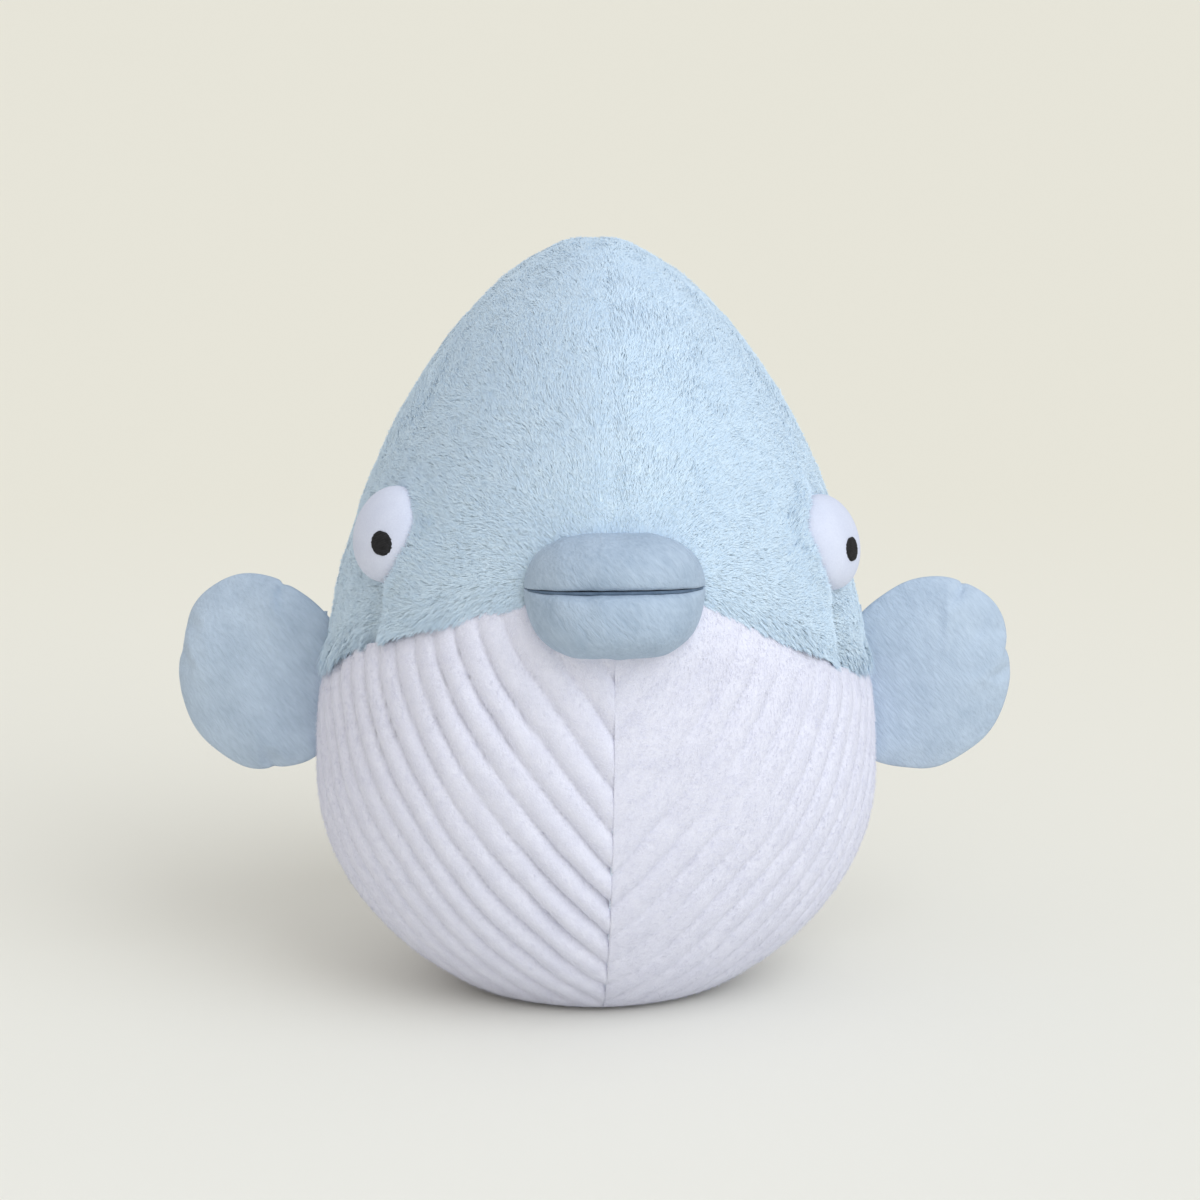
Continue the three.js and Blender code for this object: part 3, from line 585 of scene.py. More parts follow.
def ribbon_strands(name, root, bend, tip, outward, width, twist, tone, material):
    """One mesh of bent ribbons from arrays of root, bend and tip points in mm."""
    count = len(root)
    across = unit(np.cross(outward, unit(tip - root)))
    across = unit(across + outward * twist[:, None])
    half = across * width[:, None] / 2
    near = ROOT_WIDTH * half
    points = np.stack([root - near, root + near, bend - half, bend + half, tip], 1)
    first = np.arange(count)[:, None] * len(REACH)
    quads, points_of_tips = first + np.array([0, 2, 3, 1]), first + np.array([2, 4, 3])
    made = block_mesh(name, points.reshape(-1, 3), [quads, points_of_tips], material)
    add_values(made, "pile_reach", np.tile(REACH, count))
    add_values(made, "pile_tone", np.repeat(tone, len(REACH)))
    ribbon = unit(np.cross(unit(tip - root), across))
    soft = unit(SOFT_NORMALS * outward + (1 - SOFT_NORMALS) * ribbon)
    made.data.normals_split_custom_set_from_vertices(np.repeat(soft, len(REACH), 0))
    wide = math.ceil(math.sqrt(count))
    cell = np.stack([np.arange(count) % wide, np.arange(count) // wide], -1)[:, None, :]
    places = ((cell + SPOTS) / wide).reshape(-1, 2)
    corners = np.concatenate([quads.ravel(), points_of_tips.ravel()])
    layer = made.data.uv_layers.new(name="OFBake")
    layer.data.foreach_set("uv", places[corners].astype(np.float32).ravel())
    return made


def lay_pile(name, lines, width, twist, tone, parts, material, slot):
    """Strands laid as a few pieces, from front to rear."""
    order = np.argsort(lines[0][:, 1])
    for part, some in enumerate(np.array_split(order, parts)):
        pile = ribbon_strands(f"{name}_{part + 1}", *(p[some] for p in lines),
                              width[some], twist[some], tone[some], material)
        dress(pile, "body", slot)


print("strand builder ready")

# %% Roots of the pile
PILE_COUNT, PILE_STATIONS, ROOT_GRID = 300000, (MOUTH_STATION + 2, 178.5), (221, 91)
PILE_LENGTH, PILE_LIFT, PILE_CURL = 4.8, 18, 0.30
TUFT_SHARE, TIP_PULL, BEND_PULL, TONE_PULL = 1 / 22, 0.36, 0.22, 0.5
# What is sewn on keeps its place free of pile
SEWN_MARGIN, SEWN_DEPTH, LIP_SHARES, LIPS_BEFORE = 1, 20, (0.72, 1.1), -60
# How the strands turn: they hang at the side seam, cross at the crown, sway and lie down rearward
FLANK_STARTS, FLANK_ENDS = (62, 80), (100, 122)
SEAM_HANG, FLANK_HANG, HANG_REACH = 1.1, 1.6, (1.0, 12.0)
CROWN_CROSS, CROSS_REACH = 0.6, (0.0, 5.0)
SWAY_BROAD, SWAY_FINE, SWAY_STRAY = 0.30, 0.25, 0.42
DOWN_TURN, DOWN_STATIONS = 0.75, (72, 118)
# How they stand up and how long they are: patches, strays, and what changes at an edge
LIFT_PATCH, LIFT_STRAY, EYE_LIFT, BESIDE_EYE = 4, 6, 8, (1.0, 6.0)
LENGTH_PATCH, LENGTH_STRAY, EYE_LONGER = 0.10, 0.10, 0.25
FACE_LENGTH, FACE_STATIONS, CROWN_LENGTH, CROWN_FADE = 0.5, (8, 42), 0.75, (0.5, 5.0)
FRINGE_REACH, FRINGE_RAGGED, FRINGE_LONGER, FRINGE_FLANK = (2.0, 9.0), 0.35, 0.2, 1.2


def even_roots(rng, count, rings_of, first, last):
    """Random stations and ring angles, spread evenly over the area of a panel."""
    s, v = np.linspace(first, last, ROOT_GRID[0]), np.linspace(0, 1, ROOT_GRID[1])
    grid = body_form(s[:, None], rings_of(s[:, None], v[None, :]))
    one = np.linalg.norm(grid[1:, :-1] - grid[:-1, :-1], axis=-1)
    two = np.linalg.norm(grid[:-1, 1:] - grid[:-1, :-1], axis=-1)
    area = (one * two).ravel()
    cell = rng.choice(len(area), count, p=area / area.sum())
    i, j = np.divmod(cell, len(v) - 1)
    stations = lerp(s[i], s[i + 1], rng.random(count))
    return stations, rings_of(stations, lerp(v[j], v[j + 1], rng.random(count)))


def bare_places(points, turn):
    """True where something is sewn on, so that no pile grows there."""
    centre, rearward, outward, upward = EYE[turn]
    from_eye = points - centre
    across = from_eye @ rearward / (EYE_WIDTH / 2 - SEWN_MARGIN)
    eye = across**2 + (from_eye @ upward / (EYE_TALL / 2 - SEWN_MARGIN)) ** 2
    rise = points[:, 2] - MOUTH_HEIGHT + mouth_drop(points[:, 0])
    tall = np.where(rise > 0, *LIP_SHARES) * LIP_HEIGHT
    lips = np.abs(points[:, 0] / (LIP_WIDTH / 2 - SEWN_MARGIN)) ** 3 + np.abs(rise / tall) ** 2
    under_eye = (eye < 1) & (np.abs(from_eye @ outward) < SEWN_DEPTH)
    return under_eye | (lips < 1) & (points[:, 1] < LIPS_BEFORE)


def brushed_pile(turn, rng):
    """One side's strands as for the left: (roots, bends, tips, outward directions) and tones."""
    def rings_of(station, share):
        return back_ring(station, share, turn)

    stations, rings = even_roots(rng, PILE_COUNT, rings_of, *PILE_STATIONS)
    root, rearward, upward, outward, from_seam = back_surface(stations, rings, turn)
    keep = ~bare_places(root, turn)
    root, rearward, upward, outward = (a[keep] for a in (root, rearward, upward, outward))
    stations, from_seam, count = stations[keep], from_seam[keep], keep.sum()
    flank = ease(stations, *FLANK_STARTS) * (1 - ease(stations, *FLANK_ENDS))
    hang = (SEAM_HANG + FLANK_HANG * flank) * (1 - ease(from_seam, *HANG_REACH))
    cross = CROWN_CROSS * (1 - ease(root[:, 0], *CROSS_REACH)) * rng.random(count)
    sway = SWAY_BROAD * soft_noise(root, 18.0, 5) + SWAY_FINE * soft_noise(root, 6.0, 6)
    sway = sway + rng.normal(0, SWAY_STRAY, count)
    down = DOWN_TURN * ease(stations, *DOWN_STATIONS)
    lie = unit(rearward * (1 - down)[:, None] + upward * (sway + cross - hang - down)[:, None])
    edge, ahead = from_eye_edge(root, turn)
    beside = (1 - ease(edge, *BESIDE_EYE)) * ahead
    lift = PILE_LIFT + LIFT_PATCH * soft_noise(root, 7.0, 7) + rng.normal(0, LIFT_STRAY, count)
    lift = np.radians(lift + EYE_LIFT * beside)
    length = 1 + LENGTH_PATCH * soft_noise(root, 12.0, 8) + rng.normal(0, LENGTH_STRAY, count)
    length = PILE_LENGTH * length * lerp(FACE_LENGTH, 1.0, ease(stations, *FACE_STATIONS))
    length = length * lerp(CROWN_LENGTH, 1.0, ease(root[:, 0], *CROWN_FADE))
    fringe = 1 - ease(from_seam, *FRINGE_REACH)
    ragged = FRINGE_RAGGED * soft_noise(root, 9.0, 9) + FRINGE_LONGER + FRINGE_FLANK * flank
    length = length * (1 + ragged * fringe + EYE_LONGER * beside)
    first, second = (unit(lie * np.cos(rise)[:, None] + outward * np.sin(rise)[:, None])
                     for rise in (lift + PILE_CURL, lift - PILE_CURL))
    bend = root + first * (0.5 * length)[:, None]
    tip = bend + second * (0.5 * length)[:, None]
    heads = rng.choice(count, int(count * TUFT_SHARE), replace=False)
    tree = kdtree.KDTree(len(heads))
    for index, head in enumerate(heads):
        tree.insert(root[head], index)
    tree.balance()
    own = heads[[tree.find(p)[1] for p in root]]
    tone = rng.random(count)
    tone = lerp(tone, tone[own], TONE_PULL)
    return (root, lerp(bend, bend[own], BEND_PULL), lerp(tip, tip[own], TIP_PULL), outward), tone


print("pile rules ready")

# %% Pile of the back
PILE_SEED, PILE_PARTS, PILE_WIDTH, PILE_WIDTHS, PILE_TWIST = 11, 5, 0.23, (0.75, 1.25), 0.35
for seed, (side, turn) in enumerate(SIDES, PILE_SEED):
    rng = np.random.default_rng(seed)
    lines, tone = brushed_pile(turn, rng)
    lines = [mirrored(p, turn) for p in lines]
    width = PILE_WIDTH * rng.uniform(*PILE_WIDTHS, len(tone))
    twist = rng.normal(0, PILE_TWIST, len(tone))
    lay_pile(f"pile_{side}", lines, width, twist, tone, PILE_PARTS, PILE["blue_long_pile"], "blue_fur")

# %% [markdown]
# ## Ribbed belly
# The belly cloth is plush with wide ribs, cut so that the ribs slant and meet in a row of Vs at the
# centre seam. Ribs that are only painted look flat at the outline, so they are real relief: broad
# round rolls with a narrow groove between each two. The ribs lie in slanted planes through the body.

# %% Ribbed belly
RIB_PITCH, RIB_TAIL_PLACE, RIB_SLANT = 11.7, -150.0, np.array([-0.84, -0.60, 0.54])
RIB_STRENGTH, RIB_UNEVEN, RIB_WANDER, RIB_SHIVER = {1.0: 0.6, -1.0: 1.1}, 0.25, 0.08, 0.02
GROOVE_DEPTH, GROOVE_POWER, ROLL_DEPTH, ROLL_POWER = 0.7, 7, 1.5, 2
FADE_AT_BASE, FADE_AT_MOUTH, FADE_AT_TAIL = (1.0, 9.0), (4, 9), (30, 80)
SIDE_WIDTH, SIDE_TUCK, SIDE_CALM, BELOW_SEAM = 8.0, 2.4, 0.5, 0.2
DIP_DEPTH, DIP_WIDTH, DIP_FADE = 0.12, 2.2, (0.5, 6.0)
FOLD_DEPTH, FOLD_HEIGHT, FOLD_ASIDE, FOLD_WIDTH = 1.3, 42.0, 16.0, 20.0
PLUSH_RELIEF, PLUSH_DEPTH, INNER_BASE, BELLY_GAP = 0.10, 4.5, 1.0, 0.004


def belly_ring(station, share, turn):
    """Ring angle at a share of the way from the belly seam up to the side seam."""
    return lerp(-90.0, side_seam(station, turn) - BELOW_SEAM, share)


def rib_place(station, share, turn):
    """Distance across the ribs, in mm. Behind the middle the ribs draw together to the tail."""
    flank = np.minimum(station, 90.0)
    point = body_form(flank, belly_ring(flank, share, turn)) - np.array([0.0, FISH_Y, 0.0])
    return lerp(point @ RIB_SLANT, RIB_TAIL_PLACE, np.clip(station - 90.0, 0, None) / 90.0)


def belly_surface(station, share, turn):
    """Outer points of one side's belly cloth with rearward, upward and outward directions."""
    point, rearward, upward, outward = body_frame(station, belly_ring(station, share, turn))
    first_rib = rib_place(np.array([[MOUTH_STATION]]), np.linspace(0, 1, 10)[None, :], turn).max()
    place = (first_rib - rib_place(station, share, turn)) / RIB_PITCH
    place = place + RIB_WANDER * soft_noise(point, 34.0, 21 + int(turn))
    place = place + RIB_SHIVER * soft_noise(point, 9.0, 23)
    from_crown = np.abs(2 * (place % 1.0) - 1.0)
    fade = ease(point[..., 2], *FADE_AT_BASE) * ease(station, *FADE_AT_MOUTH)
    fade = fade * ease(180 - station, *FADE_AT_TAIL)
    depth = RIB_STRENGTH[turn] + RIB_UNEVEN * soft_noise(point, 26.0, 26) + pinched(point, turn)
    low = body_form(station, side_seam(station, turn) + 0 * share)
    beside = bell(np.linalg.norm(point - low, axis=-1), SIDE_WIDTH)
    rolls = GROOVE_DEPTH * from_crown**GROOVE_POWER + ROLL_DEPTH * from_crown**ROLL_POWER
    groove = rolls * fade * depth * (1 - SIDE_CALM * beside)
    dip = DIP_DEPTH * bell(point[..., 0], DIP_WIDTH) * ease(point[..., 2], *DIP_FADE)
    pile = PLUSH_RELIEF * soft_noise(point, 16.0, 25) * fade
    outer = point - outward * (groove + dip + SIDE_TUCK * beside - pile)[..., None]
    return outer, rearward, upward, outward


def pinched(point, turn):
    """How much deeper the grooves are low on the fish's right, where the full belly sags in folds."""
    above, aside = point[..., 2] - FOLD_HEIGHT, point[..., 0] - FOLD_ASIDE
    low = np.exp(-((above / FOLD_WIDTH) ** 2) - (aside / FOLD_WIDTH) ** 2)
    return FOLD_DEPTH * low * (point[..., 1] < 0) * (turn < 0)


def belly_layers(station, share, turn):
    """Outer and inner points of one side's belly cloth, as for the left side."""
    outer, _, _, outward = belly_surface(station, share, turn)
    inner = body_form(station, belly_ring(station, share, turn)) - outward * PLUSH_DEPTH
    inner[..., 2] = np.maximum(inner[..., 2], INNER_BASE)
    for layer in (outer, inner):
        layer[..., 0] = np.maximum(layer[..., 0], BELLY_GAP)
        layer[..., 2] = np.maximum(layer[..., 2], 0.0)
    return np.concatenate([outer.reshape(-1, 3), inner.reshape(-1, 3)])


rows, columns = 400, 120
station = np.linspace(MOUTH_STATION, LAST_STATION, rows)[:, None]
share = np.linspace(0, 1, columns)[None, :]
for side, turn in SIDES:
    points = mirrored(belly_layers(station, share, turn), turn)
    faces = flipped([sheet_faces(rows, columns)], turn > 0)
    belly = block_mesh(f"belly_cloth_{side}", points, faces, CLOTH["white_rib_plush"])
    dress(belly, "body", "white_rib_plush", f"belly_panel_{side}", fill=0.8)

# %% [markdown]
# ## Short pile of the belly
# Plush has a short pile of its own. It softens the ribs and leaves a thin fringe at the outline,
# which no bump pattern can do, so it grows from the ribs as strands like those of the back.

# %% Short pile of the belly
NAP_COUNT, NAP_STATIONS, NAP_ABOVE, NAP_TIPS_ABOVE = 60000, (MOUTH_STATION + 2, 178.0), 1.5, 0.1
NAP_LENGTH, NAP_LENGTH_STRAY, NAP_LIFT, NAP_LIFT_STRAY = 1.05, 0.18, 32, 9
NAP_SWAY, NAP_SWAY_STRAY, NAP_CURL = 0.25, 0.35, (0.2, -0.3)
NAP_SEED, NAP_PARTS, NAP_WIDTH, NAP_WIDTHS, NAP_TWIST = 71, 2, 0.14, (0.8, 1.2), 0.4


def belly_nap(turn, rng):
    """Short strands of one side's belly as for the left side, leaning down and outward."""
    def rings_of(station, share):
        return belly_ring(station, share, turn)

    stations, rings = even_roots(rng, NAP_COUNT, rings_of, *NAP_STATIONS)
    share = (rings + 90) / (rings_of(stations, 1.0) + 90)
    root, rearward, upward, outward = belly_surface(stations, share, turn)
    keep = root[:, 2] > NAP_ABOVE
    root, rearward, upward, outward = (a[keep] for a in (root, rearward, upward, outward))
    count = len(root)
    sway = NAP_SWAY * soft_noise(root, 20.0, 41) + rng.normal(0, NAP_SWAY_STRAY, count)
    lie = unit(rearward * sway[:, None] - upward)
    lift = np.radians(NAP_LIFT + rng.normal(0, NAP_LIFT_STRAY, count))[:, None]
    length = NAP_LENGTH * (1 + rng.normal(0, NAP_LENGTH_STRAY, count))[:, None]
    first, second = (lie * np.cos(lift + curl) + outward * np.sin(lift + curl) for curl in NAP_CURL)
    bend = root + first * length / 2
    tip = bend + second * length / 2
    tip[:, 2] = np.maximum(tip[:, 2], NAP_TIPS_ABOVE)
    return root, bend, tip, outward


for seed, (side, turn) in enumerate(SIDES, NAP_SEED):
    rng = np.random.default_rng(seed)
    lines = [mirrored(p, turn) for p in belly_nap(turn, rng)]
    count = len(lines[0])
    width = NAP_WIDTH * rng.uniform(*NAP_WIDTHS, count)
    twist = rng.normal(0, NAP_TWIST, count)
    tone = rng.random(count)
    lay_pile(f"belly_pile_{side}", lines, width, twist, tone, NAP_PARTS,
             PILE["white_short_pile"], "white_rib_plush")

# %% [markdown]
# ## Lips
# Two stuffed velour cushions, sewn to the face one above the other. Each is a half ball with a nearly
# flat side toward the mouth, arched down at the corners of the mouth. The same form as the solid,
# in a finer mesh, gets soft puckers from the stitches of the mouth line.

# %% Lips
UPPER_PROFILE = ((-0.36, 0.72), (0.05, 0.81), (0.36, 0.82), (0.65, 0.71), (0.82, 0.49),
                 (0.87, 0.22), (0.83, 0.05), (0.62, 0.0), (0.18, 0.0), (-0.36, 0.0))
LOWER_PROFILE = ((-0.36, 0.0), (0.18, 0.0), (0.62, 0.0), (0.88, -0.03), (0.98, -0.18),
                 (1.00, -0.48), (0.92, -0.79), (0.65, -1.03), (0.30, -1.17), (-0.36, -1.15))
MOUTH_GAP, LIP_FULLNESS, LIP_DEEP_POWER, LIP_TALL_POWER, LIP_LEAST = 0.15, 1.04, 2.4, 3.4, 0.0004
PUCKER_DEPTH, PUCKER_SIZE, PUCKER_STRETCH = 0.16, 4.0, np.array([1.0, 0.4, 0.4])


def smooth_line(points, count):
    """A rounded line through corner points, cut into evenly spread places."""
    p = np.array(points, float)
    for _ in range(4):
        cut = np.stack([0.75 * p[:-1] + 0.25 * p[1:], 0.25 * p[:-1] + 0.75 * p[1:]], 1).reshape(-1, 2)
        p = np.concatenate([p[:1], cut, p[-1:]])
    along = np.concatenate([[0], np.cumsum(np.linalg.norm(np.diff(p, axis=0), axis=1))])
    even = np.linspace(0, along[-1], count)
    return np.stack([np.interp(even, along, p[:, 0]), np.interp(even, along, p[:, 1])], -1)


def lip_points(profile, rows, columns):
    """Grid over one lip: its profile, drawn in toward the corners of the mouth."""
    line = smooth_line(np.array(profile) * (LIP_FULLNESS * LIP_REACH, LIP_FULLNESS * LIP_HEIGHT), columns)
    across = np.sin(np.linspace(-1, 1, rows) * math.pi / 2)
    deep = np.clip(1 - np.abs(across) ** LIP_DEEP_POWER, LIP_LEAST, None) ** 0.5
    tall = np.clip(1 - np.abs(across) ** LIP_TALL_POWER, LIP_LEAST, None) ** 0.5
    x = LIP_WIDTH / 2 * across[:, None] * np.ones(columns)
    y = -line[None, :, 0] * deep[:, None] + LIP_WRAP * across[:, None] ** 2
    z = np.sign(profile[4][1]) * MOUTH_GAP + line[None, :, 1] * tall[:, None] - mouth_drop(x)
    return np.stack([x, y + FACE_Y + FISH_Y, z + MOUTH_HEIGHT], -1)


rows, columns = 110, 60
for name, profile in (("upper_lip", UPPER_PROFILE), ("lower_lip", LOWER_PROFILE)):
    points = lip_points(profile, rows, columns)
    pucker = PUCKER_DEPTH * soft_noise(points * PUCKER_STRETCH, PUCKER_SIZE, 31)
    points = points + unit(points - points.mean((0, 1))) * pucker[..., None]
    faces = tube_faces(rows, columns)
    lip = block_mesh(f"{name}_velour", points.reshape(-1, 3), faces, CLOTH["blue_velour"])
    dress(lip, "body", "blue_velour", f"{name}_cover", f"{name}_stuffing", fill=0.7)

# %% [markdown]
# ## Mouth line
# The lips are pulled together by one dark thread, which shows as the line of the mouth. It is a thin
# tube laid in the crease between the lips, and its near-black colour is partly painted shade of that
# crease. It thins out where it goes under at the corners.

# %% Mouth line
MOUTH_REACH, MOUTH_DEPTH, MOUTH_RADIUS, MOUTH_THINNING = 0.955, 17.6, 0.62, 0.6


def tube(name, line, radius, around, material):
    """A thread along a line of points, with a radius for each of them."""
    ahead = unit(np.gradient(line, axis=0))
    side = unit(np.cross(ahead, np.where(np.abs(ahead[:, :1]) < 0.5, [[1.0, 0.0, 0.0]], [[0.0, 0.0, 1.0]])))
    other = np.cross(side, ahead)
    turn = np.linspace(0, 2 * math.pi, around, endpoint=False)
    ring = side[:, None] * np.cos(turn)[None, :, None] + other[:, None] * np.sin(turn)[None, :, None]
    points = line[:, None] + ring * radius[:, None, None]
    return block_mesh(name, points.reshape(-1, 3), tube_faces(len(line), around), material)


across = np.linspace(-MOUTH_REACH, MOUTH_REACH, 90)
x = LIP_WIDTH / 2 * across
y = FACE_Y + FISH_Y - MOUTH_DEPTH * np.sqrt(1 - np.abs(across) ** LIP_DEEP_POWER) + LIP_WRAP * across**2
line = np.stack([x, y, MOUTH_HEIGHT - mouth_drop(x)], -1)
radius = MOUTH_RADIUS * (1 - MOUTH_THINNING * np.abs(across) ** 6)
thread = tube("mouth_line", line, radius, 10, CLOTH["mouth_thread"])
dress(thread, "body", "mouth_thread", "mouth_thread")

# %% [markdown]
# ## Eyes
# Each eye is a small white dome, stuffed and sewn to the side of the head, with a pupil stitched in
# black satin stitch. The dome is full in the middle and rolls under at its edge. Below the edge it
# goes on into the pile, so that no gap shows beneath it from behind.

# %% Eyes
PUPIL_RADIUS, PUPIL_FORWARD, PUPIL_DROP = 4.2, {1.0: 1.5, -1.0: 8.5}, {1.0: 4.5, -1.0: 3.8}
EYE_FOOT, EYE_MIDDLE = 8.0, 0.004


def dome_height(share):
    """Height of the dome at a share of the way from its middle to its edge."""
    return EYE_REACH * np.clip(1 - share**2, 0, None) ** 0.5


def eye_points(turn, a, b, lift):
    """Places on one dome from rearward and upward distances in mm, as for the left side."""
    centre, rearward, outward, upward = EYE[turn]
    share = np.sqrt((a / (EYE_WIDTH / 2)) ** 2 + (b / (EYE_TALL / 2)) ** 2)
    height = dome_height(share) + lift
    return centre + a[..., None] * rearward + b[..., None] * upward + height[..., None] * outward


rows, columns = 28, 72
share = np.sin(np.linspace(EYE_MIDDLE, 1, rows) * math.pi / 2)[:, None]
around = np.linspace(0, 2 * math.pi, columns, endpoint=False)[None, :]
wide, tall = EYE_WIDTH / 2 * share * np.cos(around), EYE_TALL / 2 * share * np.sin(around)
for side, turn in SIDES:
    dome = eye_points(turn, wide, tall, 0 * share)
    dome = np.concatenate([dome, dome[-1:] - EYE[turn][2] * EYE_FOOT]).reshape(-1, 3)
    faces = flipped(tube_faces(rows + 1, columns), turn < 0)
    eye = block_mesh(f"eye_dome_{side}", mirrored(dome, turn), faces, CLOTH["white_velour"])
    dress(eye, "body", "white_velour", f"eye_cover_{side}", fill=0.8)

# %% [markdown]
# ## Pupils
# A pupil is a round patch of satin stitch: parallel threads side by side. A flat black disc would
# lose the thread, so it is a thin sheet with one ridge for each stitch and a slightly ragged edge.

# %% Pupils
STITCHES, STITCH_HEIGHT, STITCH_VALLEY, STITCH_RIDGE = 15, 0.55, 0.55, 0.45
STITCH_LIFT, STITCH_FOOT = 0.25, -0.8
PUPIL_TALL, PUPIL_RAGGED, PUPIL_COLUMNS, PUPIL_ROWS = 0.97, 0.035, STITCHES * 6 + 1, 15


def pupil_points(turn):
    """Grid over one pupil: rows along each thread, with a ridge for each stitch."""
    b = np.linspace(-PUPIL_TALL, PUPIL_TALL, PUPIL_COLUMNS)[None, :] * PUPIL_RADIUS
    stitch = (b / PUPIL_RADIUS + 1) / 2 * STITCHES
    ragged = 1 + PUPIL_RAGGED * np.sin(np.floor(stitch) * 2.4)
    t = np.linspace(-1, 1, PUPIL_ROWS)[:, None]
    a = t * np.sqrt(PUPIL_RADIUS**2 - b**2) * ragged
    ridge = np.abs(np.sin(stitch * math.pi))
    edge = 1 - np.maximum(np.abs(t) ** 6, np.abs(b / PUPIL_RADIUS) ** 8)
    lift = STITCH_LIFT + STITCH_HEIGHT * edge * (STITCH_VALLEY + STITCH_RIDGE * ridge)
    place = (a - PUPIL_FORWARD[turn], b + 0 * a - PUPIL_DROP[turn])
    layers = [eye_points(turn, *place, height) for height in (lift, STITCH_FOOT + 0 * lift)]
    return np.concatenate([layer.reshape(-1, 3) for layer in layers])


for side, turn in SIDES:
    faces = flipped([sheet_faces(PUPIL_ROWS, PUPIL_COLUMNS)], turn > 0)
    points = mirrored(pupil_points(turn), turn)
    pupil = block_mesh(f"pupil_stitches_{side}", points, faces, CLOTH["black_embroidery"])
    dress(pupil, "body", "black_embroidery", f"pupil_{side}")

# %% [markdown]
# ## Fins and tail
# A fin is two flat pieces of velour, sewn together round the edge, turned and stuffed. Its puckers
# come from that, so it is made that way: two flat layers that share their rim are blown up by the
# cloth simulation. The rim can't stretch, so it gathers in small puckers as a tight seam does.
# The blown shape is then brought to the size of the solid fin, and its root stays flat and sewn.

# %% Sewn fin
FIN_ROUND_CENTRE, FIN_RINGS, FIN_AROUND = 0.44, 18, 96
EDGE_WAVES = ((0.008, 5, 1), (0.005, 9, 2))
LAYER_GAP, LAYER_BULGE = 0.6, 1.6


def fin_outline(turn, share, length, span, droop, flare):
    """Flat places on a fin, from its reach and its height along the root, in mm."""
    tilt = math.radians(droop)
    wide, tall = length * (1 - FIN_ROUND_CENTRE) * np.cos(turn), span / 2 * np.sin(turn)
    x = wide * math.cos(tilt) + tall * math.sin(tilt)
    z = -wide * math.sin(tilt) + tall * math.cos(tilt)
    middle = length * FIN_ROUND_CENTRE * np.array([math.cos(tilt), -math.sin(tilt)])
    waves = sum(size * np.sin(count * turn + shift * droop) for size, count, shift in EDGE_WAVES)
    uneven = 1 + (flare == 0) * waves * share**3
    x, z = x * uneven, z * uneven
    x = middle[0] + share * (np.maximum(x + middle[0], HINGE_OFFSET) - middle[0])
    z = (middle[1] + share * z) * lerp(1 - flare, 1.0, np.clip(x / length, 0, 1))
    return np.stack([x, z], -1)


def flat_fin(length, span, droop, flare):
    """Points and faces of two flat layers that share their outer edge."""
    rings, around = FIN_RINGS, FIN_AROUND
    turn = np.linspace(0, 2 * math.pi, around, endpoint=False)[None, :]
    share = (np.arange(rings + 1) / rings)[:, None]
    flat = fin_outline(turn, share, length, span, droop, flare)
    gap = (LAYER_GAP + LAYER_BULGE * (1 - share**2)) * (share < 1) + 0 * turn
    front = np.stack([flat[..., 0], -gap, flat[..., 1]], -1)
    rear = front * np.array([1.0, -1.0, 1.0])
    points = [front[0, :1], front[1:].reshape(-1, 3), rear[0, :1], rear[1:-1].reshape(-1, 3)]
    near = 1 + np.arange(rings * around).reshape(rings, around)
    far = np.concatenate([near[:-1] + rings * around + 1, near[-1:]])
    quads, fans = [], []
    for sheet, hub, step in ((near, 0, 1), (far, 1 + rings * around, -1)):
        after = np.roll(sheet, -1, 1)
        corners = np.stack([sheet[:-1], after[:-1], after[1:], sheet[1:]], -1)
        quads.append(corners.reshape(-1, 4)[:, ::-step])
        fans.append(np.stack([np.full(around, hub), sheet[0], after[0]], -1)[:, ::step])
    return np.concatenate(points), [np.concatenate(quads), np.concatenate(fans)]


print("fin tip at", fin_outline(np.array([0.0]), 1.0, FIN_LENGTH, FIN_SPAN, FIN_DROOP[1.0], 0.0).round(1))

# %% Blow up a fin
CLOTH_SCALE, CLOTH_FRAMES, SEWN_REACH, FIN_HALF_THICKNESS = 10.0, 24, 0.4, 8.8


def blown(name, points, faces):
    """The points after the cloth simulation has filled the closed layers."""
    trial = block_mesh(name + "_trial", points * CLOTH_SCALE, faces, CLOTH["fin_velour"])
    sewn = trial.vertex_groups.new(name="sewn_root")
    sewn.add(np.flatnonzero(points[:, 0] < HINGE_OFFSET + SEWN_REACH).tolist(), 1.0, "REPLACE")
    cloth = trial.modifiers.new("fill", "CLOTH")
    settings = cloth.settings
    settings.quality, settings.mass, settings.air_damping = 6, 0.3, 2.0
    settings.tension_stiffness, settings.compression_stiffness = 20.0, 2.0
    settings.shear_stiffness, settings.bending_stiffness = 8.0, 0.2
    settings.vertex_group_mass, settings.pin_stiffness = "sewn_root", 1.0
    settings.use_pressure, settings.uniform_pressure_force = True, 1.0
    settings.effector_weights.gravity = 0.0
    cloth.collision_settings.use_collision = False
    cloth.point_cache.frame_start, cloth.point_cache.frame_end = 1, CLOTH_FRAMES
    for step in range(1, CLOTH_FRAMES + 1):
        bpy.context.scene.frame_set(step)
    shaped = trial.evaluated_get(bpy.context.evaluated_depsgraph_get()).to_mesh()
    result = np.empty(len(points) * 3, np.float32)
    shaped.vertices.foreach_get("co", result)
    bpy.context.scene.frame_set(1)
    bpy.data.objects.remove(trial)
    return result.reshape(-1, 3).astype(float) / MM / CLOTH_SCALE


